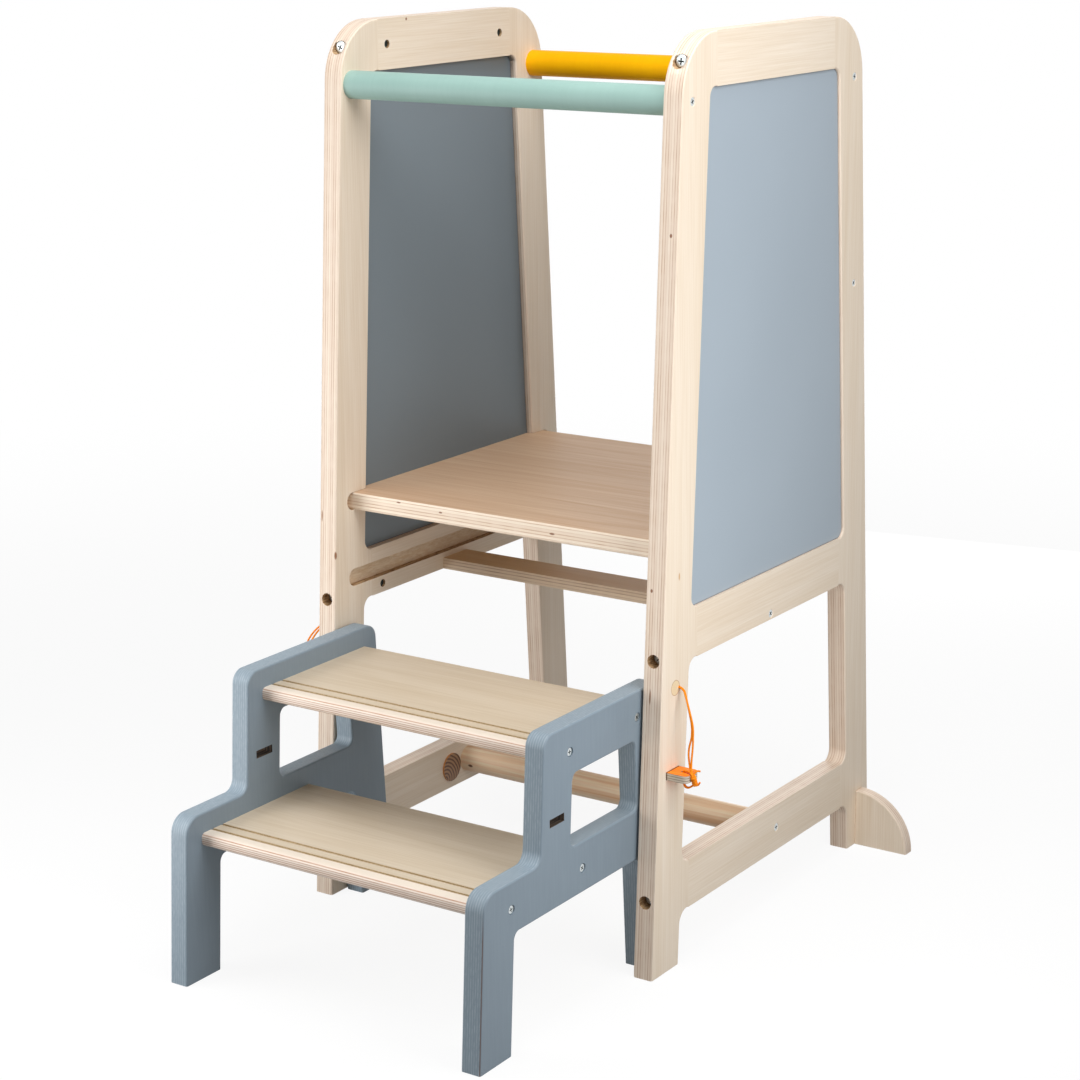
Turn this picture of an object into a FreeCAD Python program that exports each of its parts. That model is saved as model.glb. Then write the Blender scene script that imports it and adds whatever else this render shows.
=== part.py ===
"""Toddler kitchen helper stool: a ply tower with a pull-out step stool, locked by two keys on cords.

Millimetres. +X is the user's right across the tower, +Y goes from the steps to the back, +Z is up.
The origin is on the floor, at the middle of the footprint of the tower and the pulled-out stool.
"""

import FreeCAD
import Part
import math
import os

Vector = FreeCAD.Vector

# Driving dimensions, with depths measured from the tower's own mid-plane
TOWER_HEIGHT = 900.0
TOWER_WIDTH = 414.0
FRAME_PLY = 21.0
BASE_HALF_DEPTH = 229.0
TOP_HALF_DEPTH = 174.5
STILE_WIDTH = 50.0
TOP_CORNER_RADIUS = 60.0

# Rails: underside, top and the place of the upright joint with the stile
TOP_RAIL = (849.0, 900.0, 116.0)
MIDDLE_RAIL = (307.0, 358.0, 146.5)
BOTTOM_RAIL = (53.0, 103.0, 160.0)
PANEL_WINDOW_RADIUS = 10.0
LOWER_WINDOW_RADIUS = 12.0
FOOT_NOTCH_RADIUS = 14.0

PANEL_THICKNESS = 10.0
PANEL_OUTER_RECESS = 3.0
PANEL_TONGUE = 5.0

PLATFORM_HALF_DEPTH = 175.7
PLATFORM_BOTTOM = 406.0
PLATFORM_THICKNESS = 18.0
PLATFORM_ARRIS = 2.0
GROOVE_DEPTH = 8.0
GROOVE_HEIGHT = 18.3
GROOVE_HALF_LENGTH = 185.6
SPARE_GROOVE_BOTTOM = 324.9

CROSS_RAIL_BOTTOM = 307.0
CROSS_RAIL_THICKNESS = 12.0
CROSS_RAIL_WIDTH = 43.0

BAR_DIAMETER = 28.0
BAR_SOCKET_DEPTH = 8.0
GRIP_BAR_HEIGHT = 838.2
GRIP_BAR_HALF_SPACING = 160.3
SPREADER_HEIGHT = 78.0
SPREADER_OFFSET = 18.0
SPARE_STUB_DIAMETER = 31.4
SPARE_STUB_OFFSET = 13.5
SPARE_STUB_HEIGHT = 76.8
SPARE_STUB_PROUD = 2.0

FIN_RADIUS = 62.0
FIN_THICKNESS = 15.0
FIN_DEPTH = 204.5

KEY_SLOT_WIDTH = 24.0
KEY_SLOT_HEIGHT = 8.0
KEY_SLOT_BOTTOM = 198.0
KEY_WIDTH = 23.2
KEY_THICKNESS = 7.4
KEY_TIP_INSET = 0.5
KEY_OUTSIDE = 23.0
KEY_CORNER_RADIUS = 5.0
KEY_HOLE_INSET = 10.6
KEY_HOLE_RADIUS = 2.2

PLUG_DIAMETER = 15.5
PLUG_LENGTH = 12.0
PLUG_HEIGHT = 286.0
CORD_DIAMETER = 2.2
CORD_EXIT_DEPTH = -179.6
CORD_EXIT_HEIGHT = 285.4
CORD_NOTCH_DEPTH = 5.0

STOOL_WIDTH = 367.0
STOOL_PLY = 21.0
STOOL_FRONT = -482.5
STOOL_LEG_WIDTH = 50.0
RISER_FRONT = -393.5
REAR_LEG_FRONT = -206.2
LOWER_ARM = (117.0, 167.5)
UPPER_ARM = (238.5, 287.5)
STEP_THICKNESS = 13.0
STEP_DEPTH = 163.0
LOWER_STEP = (-452.5, 147.5)
UPPER_STEP = (-356.0, 267.5)
TREAD_GROOVES = (15.5, 30.0)
TREAD_GROOVE_SIZE = 2.6
TREAD_GROOVE_DEPTH = 1.6
STEP_SCREW_RECESS = 1.8
STEP_SCREW_RECESS_RADIUS = 4.8

# Frame bolts and their barrel nuts: top, middle and bottom rail
BOLT_HEIGHTS = (874.5, 316.5, 77.5)
BARREL_PLACES = {"front": (101.5, 129.2, 143.0), "rear": (97.2, 129.2, 143.0)}
BOLT_HOLE_RADIUS = 3.1
COUNTERBORE_RADIUS = 6.8
BARREL_RADIUS = 4.3
BARREL_LENGTH = 14.0
BARREL_MOUTH = 2.5
FASTENER_SIDES = 12
CORD_SIDES = 8

# Worked out from the driving dimensions
LEAN = (BASE_HALF_DEPTH - TOP_HALF_DEPTH) / TOWER_HEIGHT
OUTER = TOWER_WIDTH / 2
INNER = OUTER - FRAME_PLY
PLY_MIDDLE = OUTER - FRAME_PLY / 2
STOOL_OUTER = STOOL_WIDTH / 2
STOOL_INNER = STOOL_OUTER - STOOL_PLY
KEY_HEIGHT = KEY_SLOT_BOTTOM + KEY_SLOT_HEIGHT / 2
GRIP_BARS = (-GRIP_BAR_HALF_SPACING, GRIP_BAR_HALF_SPACING)
MIDDLE_OF_FOOTPRINT = (STOOL_FRONT + BASE_HALF_DEPTH) / 2
SIDES = {"left": -1, "right": 1}
ENDS = {"front": -1, "rear": 1}


def edge_depth(z):
    """Distance of a stile's outer edge from the tower's mid-plane."""
    return BASE_HALF_DEPTH - LEAN * z


def inner_depth(z):
    """Distance of a stile's window edge from the tower's mid-plane."""
    return edge_depth(z) - STILE_WIDTH


KEY_DEPTH = -(edge_depth(KEY_HEIGHT) - STILE_WIDTH / 2)
PLUG_DEPTH = -(edge_depth(PLUG_HEIGHT) - STILE_WIDTH / 2)
RISER_SLOT_DEPTH = RISER_FRONT + LEAN * KEY_HEIGHT + STOOL_LEG_WIDTH / 2
STOOL_TRAVEL = KEY_DEPTH - RISER_SLOT_DEPTH


def rounded_outline(corners, x=0.0):
    """A closed wire in the plane at x through (y, z, radius) corners, each rounded by its radius."""
    count = len(corners)
    stretches = []
    for n in range(count):
        places = [corners[k % count] for k in (n - 1, n, n + 1)]
        before, here, after = (Vector(x, place[0], place[1]) for place in places)
        radius = corners[n][2]
        if radius == 0:
            stretches.append((here, None, here))
            continue
        back = (before - here).normalize()
        ahead = (after - here).normalize()
        half_angle = back.getAngle(ahead) / 2
        reach = radius / math.tan(half_angle)
        bisector = (back + ahead).normalize()
        middle = here + bisector * (radius / math.sin(half_angle) - radius)
        stretches.append((here + back * reach, middle, here + ahead * reach))
    edges = []
    for n in range(count):
        start, middle, end = stretches[n]
        if middle is not None:
            edges.append(Part.Arc(start, middle, end).toShape())
        following = stretches[(n + 1) % count][0]
        if (following - end).Length > 1e-6:
            edges.append(Part.makeLine(end, following))
    return Part.Wire(edges)


def plate(corners, x_low, x_high):
    """A flat board with the given (y, z, radius) outline between two x planes."""
    face = Part.Face(rounded_outline(corners, x_low))
    return face.extrude(Vector(x_high - x_low, 0, 0))


def across(radius, x_low, x_high, y, z):
    """A round bar along X."""
    return Part.makeCylinder(radius, x_high - x_low, Vector(x_low, y, z), Vector(1, 0, 0))


def along_depth(radius, y_low, y_high, x, z):
    """A round bar along Y."""
    return Part.makeCylinder(radius, y_high - y_low, Vector(x, y_low, z), Vector(0, 1, 0))


def block(x_low, x_high, y_low, y_high, z_low, z_high):
    return Part.makeBox(x_high - x_low, y_high - y_low, z_high - z_low, Vector(x_low, y_low, z_low))


def mirrored_x(shape):
    return shape.mirror(Vector(0, 0, 0), Vector(1, 0, 0))


def mirrored_y(shape):
    return shape.mirror(Vector(0, 0, 0), Vector(0, 1, 0))


def on_side(shape, side):
    """A piece of the right side frame, or its mirror image for the left one."""
    return shape if SIDES[side] > 0 else mirrored_x(shape)


def placed_at(shape, end):
    """A piece made for the tower's front end, or its mirror image for the rear one."""
    return shape if ENDS[end] < 0 else mirrored_y(shape)


def ring(centre, axis, radius, sides):
    """A regular polygon square to an axis, as the section of a small turned piece or a cord."""
    axis = Vector(axis).normalize()
    helper = Vector(0, 0, 1) if abs(axis.z) < 0.9 else Vector(0, 1, 0)
    first = axis.cross(helper).normalize()
    second = axis.cross(first)
    corners = []
    for n in range(sides + 1):
        angle = 2 * math.pi * (n % sides) / sides
        corners.append(centre + first * (radius * math.cos(angle)) + second * (radius * math.sin(angle)))
    return Part.makePolygon(corners)


def turned(centre, axis, stations, sides=FASTENER_SIDES):
    """A small turned piece with few flats, through (place along the axis, radius) stations."""
    axis = Vector(axis).normalize()
    rings = [ring(centre + axis * place, axis, radius, sides) for place, radius in stations]
    return Part.makeLoft(rings, True, True)


# Countersunk wood screws lie along X, head at the outer face and pointing inwards (right side)
def wood_screw(x_face, y, z, length, head_radius=4.6, shank_radius=2.2):
    stations = [(0, head_radius), (head_radius - shank_radius, shank_radius), (length, shank_radius)]
    return turned(Vector(x_face, y, z), Vector(-1, 0, 0), stations)


# Side frames
def stile_corners():
    """The front stile's outline, with the stub of each rail and its rounded window corners."""
    top_low, top_high, top_joint = TOP_RAIL
    middle_low, middle_high, middle_joint = MIDDLE_RAIL
    bottom_low, bottom_high, bottom_joint = BOTTOM_RAIL
    return [
        (-BASE_HALF_DEPTH, 0, 0),
        (-TOP_HALF_DEPTH, TOWER_HEIGHT, TOP_CORNER_RADIUS),
        (-top_joint, top_high, 0),
        (-top_joint, top_low, 0),
        (-inner_depth(top_low), top_low, PANEL_WINDOW_RADIUS),
        (-inner_depth(middle_high), middle_high, PANEL_WINDOW_RADIUS),
        (-middle_joint, middle_high, 0),
        (-middle_joint, middle_low, 0),
        (-inner_depth(middle_low), middle_low, LOWER_WINDOW_RADIUS),
        (-inner_depth(bottom_high), bottom_high, LOWER_WINDOW_RADIUS),
        (-bottom_joint, bottom_high, 0),
        (-bottom_joint, bottom_low, 0),
        (-inner_depth(bottom_low), bottom_low, FOOT_NOTCH_RADIUS),
        (-inner_depth(0), 0, 0),
    ]


def panel_solid(side):
    """The inset board, let into a groove all round the upper window."""
    low = MIDDLE_RAIL[1] - PANEL_TONGUE
    high = TOP_RAIL[0] + PANEL_TONGUE
    radius = PANEL_WINDOW_RADIUS + PANEL_TONGUE
    low_half = inner_depth(low) + PANEL_TONGUE
    high_half = inner_depth(high) + PANEL_TONGUE
    corners = [
        (-low_half, low, radius),
        (-high_half, high, radius),
        (high_half, high, radius),
        (low_half, low, radius),
    ]
    x_high = OUTER - PANEL_OUTER_RECESS
    return on_side(plate(corners, x_high - PANEL_THICKNESS, x_high), side)


def groove(bottom):
    """The round-ended groove for the platform's side edge, cut into the right frame's inner face."""
    radius = GROOVE_HEIGHT / 2
    straight = GROOVE_HALF_LENGTH - radius
    x_low, x_high = INNER, INNER + GROOVE_DEPTH
    middle = bottom + radius
    cut = block(x_low, x_high, -straight, straight, bottom, bottom + GROOVE_HEIGHT)
    for y in (-straight, straight):
        cut = cut.fuse(across(radius, x_low, x_high, y, middle))
    return cut.removeSplitter()


def bolt_seat(index):
    """Depth from the mid-plane at which a frame bolt's head sits, in the front stile."""
    height = BOLT_HEIGHTS[index]
    if index == 0:
        centre_z = TOWER_HEIGHT - TOP_CORNER_RADIUS
        centre_y = edge_depth(centre_z) - TOP_CORNER_RADIUS * math.sqrt(1 + LEAN * LEAN)
        rise = height - centre_z
        return centre_y + math.sqrt(TOP_CORNER_RADIUS ** 2 - rise ** 2) - 6.5
    return edge_depth(height) - 14.0


# The bolts of the right frame's rear are made as front ones with their own barrel place, then mirrored
def bolt_hole(index, end):
    """Counterbore and through hole of one frame bolt, and the cross hole of its barrel nut."""
    height = BOLT_HEIGHTS[index]
    seat = bolt_seat(index)
    barrel = BARREL_PLACES[end][index]
    mouth = Vector(PLY_MIDDLE, -seat, height)
    counterbore = turned(mouth, Vector(0, -1, 0), [(0, COUNTERBORE_RADIUS), (40, COUNTERBORE_RADIUS)])
    shank = turned(mouth, Vector(0, 1, 0), [(0, BOLT_HOLE_RADIUS), (seat - barrel + 8, BOLT_HOLE_RADIUS)])
    depth = BARREL_MOUTH + BARREL_LENGTH
    cross_mouth = Vector(INNER, -barrel, height)
    cross = turned(cross_mouth, Vector(1, 0, 0), [(0, BARREL_RADIUS), (depth, BARREL_RADIUS)])
    return placed_at(counterbore.fuse([shank, cross]), end)


def frame_bolt(index, end):
    """A bolt with a pan head, its shank ending past the barrel nut's thread."""
    seat = bolt_seat(index)
    under_head = Vector(PLY_MIDDLE, -seat, BOLT_HEIGHTS[index])
    radius = COUNTERBORE_RADIUS - 0.6
    height = 3.6
    pan = [(0, radius), (height * 0.5, radius), (height * 0.85, radius * 0.86), (height, radius * 0.6)]
    head = turned(under_head, Vector(0, -1, 0), pan)
    length = seat - BARREL_PLACES[end][index] + 7
    shank = turned(under_head, Vector(0, 1, 0), [(0, BOLT_HOLE_RADIUS), (length, BOLT_HOLE_RADIUS)])
    return placed_at(head.fuse(shank), end)


def barrel_nut(index, end):
    """The cross dowel in the rail, threaded on the bolt."""
    barrel = BARREL_PLACES[end][index]
    face = Vector(INNER + BARREL_MOUTH, -barrel, BOLT_HEIGHTS[index])
    nut = turned(face, Vector(1, 0, 0), [(0, BARREL_RADIUS), (BARREL_LENGTH, BARREL_RADIUS)])
    return placed_at(nut, end).cut(frame_bolt(index, end))


def key_slot(x_low, x_high, depth):
    half = KEY_SLOT_WIDTH / 2
    top = KEY_SLOT_BOTTOM + KEY_SLOT_HEIGHT
    return block(x_low, x_high, depth - half, depth + half, KEY_SLOT_BOTTOM, top)


# Screws through the right frame's outer face: place (y, z) and length
GRIP_SCREWS = [(y, GRIP_BAR_HEIGHT, 60.0) for y in GRIP_BARS]
CROSS_RAIL_SCREW = (0.0, CROSS_RAIL_BOTTOM + CROSS_RAIL_THICKNESS / 2, 60.0)
SPREADER_SCREW = (SPREADER_OFFSET, SPREADER_HEIGHT, 60.0)
OUTER_SCREWS = GRIP_SCREWS + [CROSS_RAIL_SCREW, SPREADER_SCREW]
ACCESSORY_SCREW_DEPTH = 168.0
ACCESSORY_SCREW_HEIGHT = 626.5
FOOT_SCREW_HEIGHTS = (16.0, 40.0)


def outer_screws():
    return [wood_screw(OUTER, y, z, length) for y, z, length in OUTER_SCREWS]


def accessory_screw():
    return wood_screw(OUTER, ACCESSORY_SCREW_DEPTH, ACCESSORY_SCREW_HEIGHT, 16.0, 4.2, 1.8)


def fin_screw(height):
    """A screw from the stile's inner face into the right stabiliser."""
    screw = wood_screw(0, 0, 0, 45.0, 4.2, 2.0)
    screw.rotate(Vector(0, 0, 0), Vector(0, 0, 1), 180)
    screw.translate(Vector(INNER, FIN_DEPTH, height))
    return screw


def bar_socket(y, z, diameter=BAR_DIAMETER):
    return across(diameter / 2, INNER, INNER + BAR_SOCKET_DEPTH, y, z)


def cord_notch():
    """The notch at the plug's rim where the key's cord comes out (right side)."""
    radius = CORD_DIAMETER / 2 + 0.2
    return across(radius, OUTER - CORD_NOTCH_DEPTH, OUTER + 1, CORD_EXIT_DEPTH, CORD_EXIT_HEIGHT)


def plug_solid():
    """The wooden plug that wedges the key's cord in the front stile (right side)."""
    plug = across(PLUG_DIAMETER / 2, OUTER - PLUG_LENGTH, OUTER, PLUG_DEPTH, PLUG_HEIGHT)
    return plug.cut(cord_notch())


def frame_pieces():
    """The right side frame: stiles and rails by name, before anything is cut in them."""
    front = plate(stile_corners(), INNER, OUTER)
    pieces = {"front_stile": front, "rear_stile": mirrored_y(front)}
    for name, (low, high, joint) in (
        ("top_rail", TOP_RAIL),
        ("middle_rail", MIDDLE_RAIL),
        ("bottom_rail", BOTTOM_RAIL),
    ):
        pieces[name] = block(INNER, OUTER, -joint, joint, low, high)
    return pieces


def side_frame(side):
    """One side frame, cut for its panel, grooves, bars, bolts, screws, key and plug."""
    pieces = frame_pieces()
    holes = [bolt_hole(n, end) for end in ENDS for n in range(len(BOLT_HEIGHTS))]
    screws = outer_screws() + [fin_screw(z) for z in FOOT_SCREW_HEIGHTS]
    if side == "right":
        screws.append(accessory_screw())
    sockets = [bar_socket(y, GRIP_BAR_HEIGHT) for y in GRIP_BARS]
    sockets.append(bar_socket(SPREADER_OFFSET, SPREADER_HEIGHT))
    sockets.append(bar_socket(-SPARE_STUB_OFFSET, SPARE_STUB_HEIGHT, SPARE_STUB_DIAMETER))
    grooves = [groove(PLATFORM_BOTTOM), groove(SPARE_GROOVE_BOTTOM)]
    cuts = [panel_solid("right")] + holes + screws + sockets + grooves
    front_only = [key_slot(INNER - 1, OUTER + 1, KEY_DEPTH), plug_solid(), cord_notch()]
    finished = {}
    for name, piece in pieces.items():
        own = [cut for cut in cuts if cut.BoundBox.intersect(piece.BoundBox)]
        if name == "front_stile":
            own += front_only
        shape = piece.cut(own).removeSplitter()
        finished[f"{side}_{name}"] = on_side(shape, side)
    return finished


# Platform, cross rail and bars
def platform_solid():
    half_width = INNER + GROOVE_DEPTH - 0.2
    board = block(
        -half_width,
        half_width,
        -PLATFORM_HALF_DEPTH,
        PLATFORM_HALF_DEPTH,
        PLATFORM_BOTTOM,
        PLATFORM_BOTTOM + PLATFORM_THICKNESS,
    )
    long_edges = [e for e in board.Edges if abs(e.Vertexes[0].X - e.Vertexes[1].X) > half_width]
    return board.makeFillet(PLATFORM_ARRIS, long_edges)


def cross_rail_solid():
    half = CROSS_RAIL_WIDTH / 2
    top = CROSS_RAIL_BOTTOM + CROSS_RAIL_THICKNESS
    rail = block(-INNER, INNER, -half, half, CROSS_RAIL_BOTTOM, top)
    y, z, length = CROSS_RAIL_SCREW
    screw = wood_screw(OUTER, y, z, length)
    return rail.cut([screw, mirrored_x(screw)])


def bar_solid(y, z):
    """A dowel bar from socket to socket, with its two screw holes."""
    half = INNER + BAR_SOCKET_DEPTH
    screw = wood_screw(OUTER, y, z, 60.0)
    return across(BAR_DIAMETER / 2, -half, half, y, z).cut([screw, mirrored_x(screw)])


def spare_stub(side):
    """The short dowel let into the bottom rail in front of the spreader."""
    x_low = INNER - SPARE_STUB_PROUD
    x_high = INNER + BAR_SOCKET_DEPTH
    stub = across(SPARE_STUB_DIAMETER / 2, x_low, x_high, -SPARE_STUB_OFFSET, SPARE_STUB_HEIGHT)
    return on_side(stub, side)


def fin_solid(side):
    """The quarter-round stabiliser on the outer face of the rear stile's foot."""
    half = FIN_THICKNESS / 2
    corner = Vector(OUTER, FIN_DEPTH - half, 0)
    out = corner + Vector(FIN_RADIUS, 0, 0)
    up = corner + Vector(0, 0, FIN_RADIUS)
    bend = corner + Vector(FIN_RADIUS, 0, FIN_RADIUS) * math.sqrt(0.5)
    rim = Part.Arc(out, bend, up).toShape()
    wire = Part.Wire([Part.makeLine(corner, out), rim, Part.makeLine(up, corner)])
    fin = Part.Face(wire).extrude(Vector(0, FIN_THICKNESS, 0))
    return on_side(fin.cut([fin_screw(z) for z in FOOT_SCREW_HEIGHTS]), side)


# Keys and their cords
def key_solid(side):
    """A flat tongue with two rounded outer corners and the hole for its cord."""
    half = KEY_WIDTH / 2
    z_low = KEY_HEIGHT - KEY_THICKNESS / 2
    x_tip = INNER + KEY_TIP_INSET
    x_end = OUTER + KEY_OUTSIDE
    tongue = block(x_tip, x_end, KEY_DEPTH - half, KEY_DEPTH + half, z_low, z_low + KEY_THICKNESS)
    outer_corners = [e for e in tongue.Edges if e.BoundBox.ZLength > 1 and e.BoundBox.XMin > x_end - 0.01]
    hole = Part.makeCylinder(
        KEY_HOLE_RADIUS, KEY_THICKNESS + 2, Vector(x_end - KEY_HOLE_INSET, KEY_DEPTH, z_low - 1)
    )
    return on_side(tongue.makeFillet(KEY_CORNER_RADIUS, outer_corners).cut(hole), side)


# Routes from the plug to the knot: distance outside the tower's mid-plane, depth, height
CORD_START = (OUTER - CORD_NOTCH_DEPTH + 1.0, CORD_EXIT_DEPTH, CORD_EXIT_HEIGHT)
CORD_END = (228.4, -193.5, 211.5)
RIGHT_CORD_ROUTE = [
    CORD_START,
    (211.8, CORD_EXIT_DEPTH, CORD_EXIT_HEIGHT),
    (217.6, -183.8, 276.0),
    (223.5, -187.5, 264.0),
    (228.0, -189.6, 252.0),
    (228.4, -190.6, 240.0),
    (226.8, -191.2, 229.0),
    (227.0, -192.3, 218.5),
    CORD_END,
]
LEFT_CORD_ROUTE = [
    CORD_START,
    (212.0, CORD_EXIT_DEPTH, CORD_EXIT_HEIGHT),
    (223.0, -184.5, 280.5),
    (233.5, -188.5, 269.5),
    (239.0, -192.0, 256.0),
    (237.5, -192.8, 242.0),
    (231.0, -192.0, 229.5),
    (227.2, -192.4, 218.5),
    CORD_END,
]
CORD_ROUTES = {"left": LEFT_CORD_ROUTE, "right": RIGHT_CORD_ROUTE}


def cord_solid(side):
    """The free stretch of a key's cord: straight runs joined by tangent arcs."""
    points = [Vector(*point) for point in CORD_ROUTES[side]]
    edges = []
    radii = []
    last = points[0]
    for n in range(1, len(points) - 1):
        here = points[n]
        back = points[n - 1] - here
        ahead = points[n + 1] - here
        reach = 0.45 * min(back.Length, ahead.Length)
        back.normalize()
        ahead.normalize()
        half_turn = (math.pi - back.getAngle(ahead)) / 2
        radius = reach / math.tan(half_turn)
        radii.append(round(radius, 1))
        start = here + back * reach
        end = here + ahead * reach
        inward = (back + ahead).normalize()
        middle = here + inward * (radius / math.cos(half_turn) - radius)
        edges.append(Part.LineSegment(last, start).toShape())
        edges.append(Part.Arc(start, middle, end).toShape())
        last = end
    edges.append(Part.LineSegment(last, points[-1]).toShape())
    path = Part.Wire(edges)
    section = ring(points[0], points[1] - points[0], CORD_DIAMETER / 2, CORD_SIDES)
    tube = path.makePipeShell([section], True, False)
    ideal = path.Length * Part.Face(section).Area
    print(f"{side} cord: length {path.Length:.1f}, radii {radii}, volume {tube.Volume:.1f} for {ideal:.1f}")
    return on_side(tube, side)


def strand(points, radius):
    """Rods through the points in turn, each run on a little past its ends to close the bends."""
    over = 0.6 * radius
    rods = []
    for start, finish in zip(points, points[1:]):
        run = finish - start
        rods.append(turned(start, run, [(-over, radius), (run.Length + over, radius)], CORD_SIDES))
    return rods


def knot_solid(side):
    """The knot at the key's outer end, its two cut ends, and the doubled cord through the key's hole."""
    thread = CORD_DIAMETER / 2 * 0.9
    knot_radius = 2.6
    end = Vector(*CORD_END)
    top = Vector(232.9, -197.3, 206.6)
    foot = Vector(233.1, -191.6, 192.6)
    x_hole = OUTER + KEY_OUTSIDE - KEY_HOLE_INSET
    z_top = KEY_HEIGHT + KEY_THICKNESS / 2
    over = [
        Vector(x_hole, KEY_DEPTH, KEY_HEIGHT),
        Vector(x_hole, KEY_DEPTH, z_top + thread + 0.2),
        Vector(229.0, -194.4, z_top + thread + 0.4),
        top,
    ]
    under = [
        Vector(x_hole, KEY_DEPTH, KEY_HEIGHT),
        Vector(x_hole, -191.4, 193.0),
        Vector(222.8, -191.2, 189.8),
        Vector(226.6, -191.2, 191.6),
        foot,
    ]
    neck = (top - end).Length
    length = (foot - top).Length
    pieces = strand(over, thread) + strand(under, thread)
    pieces.append(turned(end, top - end, [(0, CORD_DIAMETER / 2), (neck, 0.7 * knot_radius)], CORD_SIDES))
    body = [
        (-0.8 * knot_radius, 0.6 * knot_radius),
        (0, knot_radius),
        (length, knot_radius),
        (length + 0.8 * knot_radius, 0.6 * knot_radius),
    ]
    pieces.append(turned(top, foot - top, body, CORD_SIDES))
    pieces += strand([top, Vector(233.6, -193.0, 209.6), Vector(238.0, -192.0, 209.8)], thread)
    pieces += strand([foot, Vector(235.6, -191.0, 195.6), Vector(237.4, -191.0, 197.6)], thread)
    return on_side(pieces[0].fuse(pieces[1:]), side)


# Step stool
def stool_side(side):
    """One side of the step stool: two legs, riser and two arms round a window, with its two key slots."""

    def leaning(depth_at_floor, z):
        return depth_at_floor + LEAN * z

    def leaning_back(depth_at_floor, z):
        return depth_at_floor - LEAN * z

    arm_low, arm_high = LOWER_ARM
    top_low, top_high = UPPER_ARM
    leg_rear = STOOL_FRONT + STOOL_LEG_WIDTH
    rear_edge = REAR_LEG_FRONT + STOOL_LEG_WIDTH
    outline = [
        (STOOL_FRONT, 0, 0),
        (leaning(STOOL_FRONT, arm_high), arm_high, 18),
        (leaning(RISER_FRONT, arm_high), arm_high, 12),
        (leaning(RISER_FRONT, top_high), top_high, 14),
        (leaning_back(rear_edge, top_high), top_high, 14),
        (rear_edge, 0, 0),
        (REAR_LEG_FRONT, 0, 0),
        (leaning_back(REAR_LEG_FRONT, arm_low), arm_low, 8),
        (leaning(leg_rear, arm_low), arm_low, 8),
        (leg_rear, 0, 0),
    ]
    riser_rear = RISER_FRONT + STOOL_LEG_WIDTH
    window = [
        (leaning(riser_rear, arm_high), arm_high, 8),
        (leaning(riser_rear, top_low), top_low, 8),
        (leaning_back(REAR_LEG_FRONT, top_low), top_low, 8),
        (leaning_back(REAR_LEG_FRONT, arm_high), arm_high, 8),
    ]
    board = plate(outline, STOOL_INNER, STOOL_OUTER)
    opening = plate(window, STOOL_INNER - 1, STOOL_OUTER + 1)
    slots = [key_slot(STOOL_INNER - 1, STOOL_OUTER + 1, depth) for depth in (RISER_SLOT_DEPTH, KEY_DEPTH)]
    seat = STOOL_OUTER - STEP_SCREW_RECESS
    radius = STEP_SCREW_RECESS_RADIUS
    recesses = [
        turned(Vector(seat, y, z), Vector(1, 0, 0), [(0, radius), (STEP_SCREW_RECESS + 1, radius)])
        for y, z in step_screw_places()
    ]
    return on_side(board.cut([opening] + slots + recesses + step_screws()), side)


def step_screw_places():
    """Depth and height of the four screws in a side, two into the end of each step."""
    places = []
    for front, top in (LOWER_STEP, UPPER_STEP):
        places += [(front + inset, top - STEP_THICKNESS / 2) for inset in (22.5, STEP_DEPTH - 24.0)]
    return places


def step_screws():
    """The right side's four screws, their heads sunk below its face."""
    seat = STOOL_OUTER - STEP_SCREW_RECESS
    return [wood_screw(seat, y, z, 45.0, 4.2, 2.0) for y, z in step_screw_places()]


def step_solid(place):
    """A step with a rounded front edge and two anti-slip grooves, cut for its screws."""
    front, top = place
    bottom = top - STEP_THICKNESS
    board = block(-STOOL_INNER, STOOL_INNER, front, front + STEP_DEPTH, bottom, top)

    def is_front(edge):
        box = edge.BoundBox
        return box.XLength > 1 and box.YMax < front + 0.01

    board = board.makeFillet(STEP_THICKNESS * 0.36, [e for e in board.Edges if is_front(e)])
    cuts = []
    for inset in TREAD_GROOVES:
        low = front + inset - TREAD_GROOVE_SIZE / 2
        high = low + TREAD_GROOVE_SIZE
        cuts.append(block(-STOOL_INNER, STOOL_INNER, low, high, top - TREAD_GROOVE_DEPTH, top))
    screws = step_screws()
    return board.cut(cuts + screws + [mirrored_x(screw) for screw in screws])


def both_sides(shapes):
    return shapes + [mirrored_x(shape) for shape in shapes]


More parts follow.
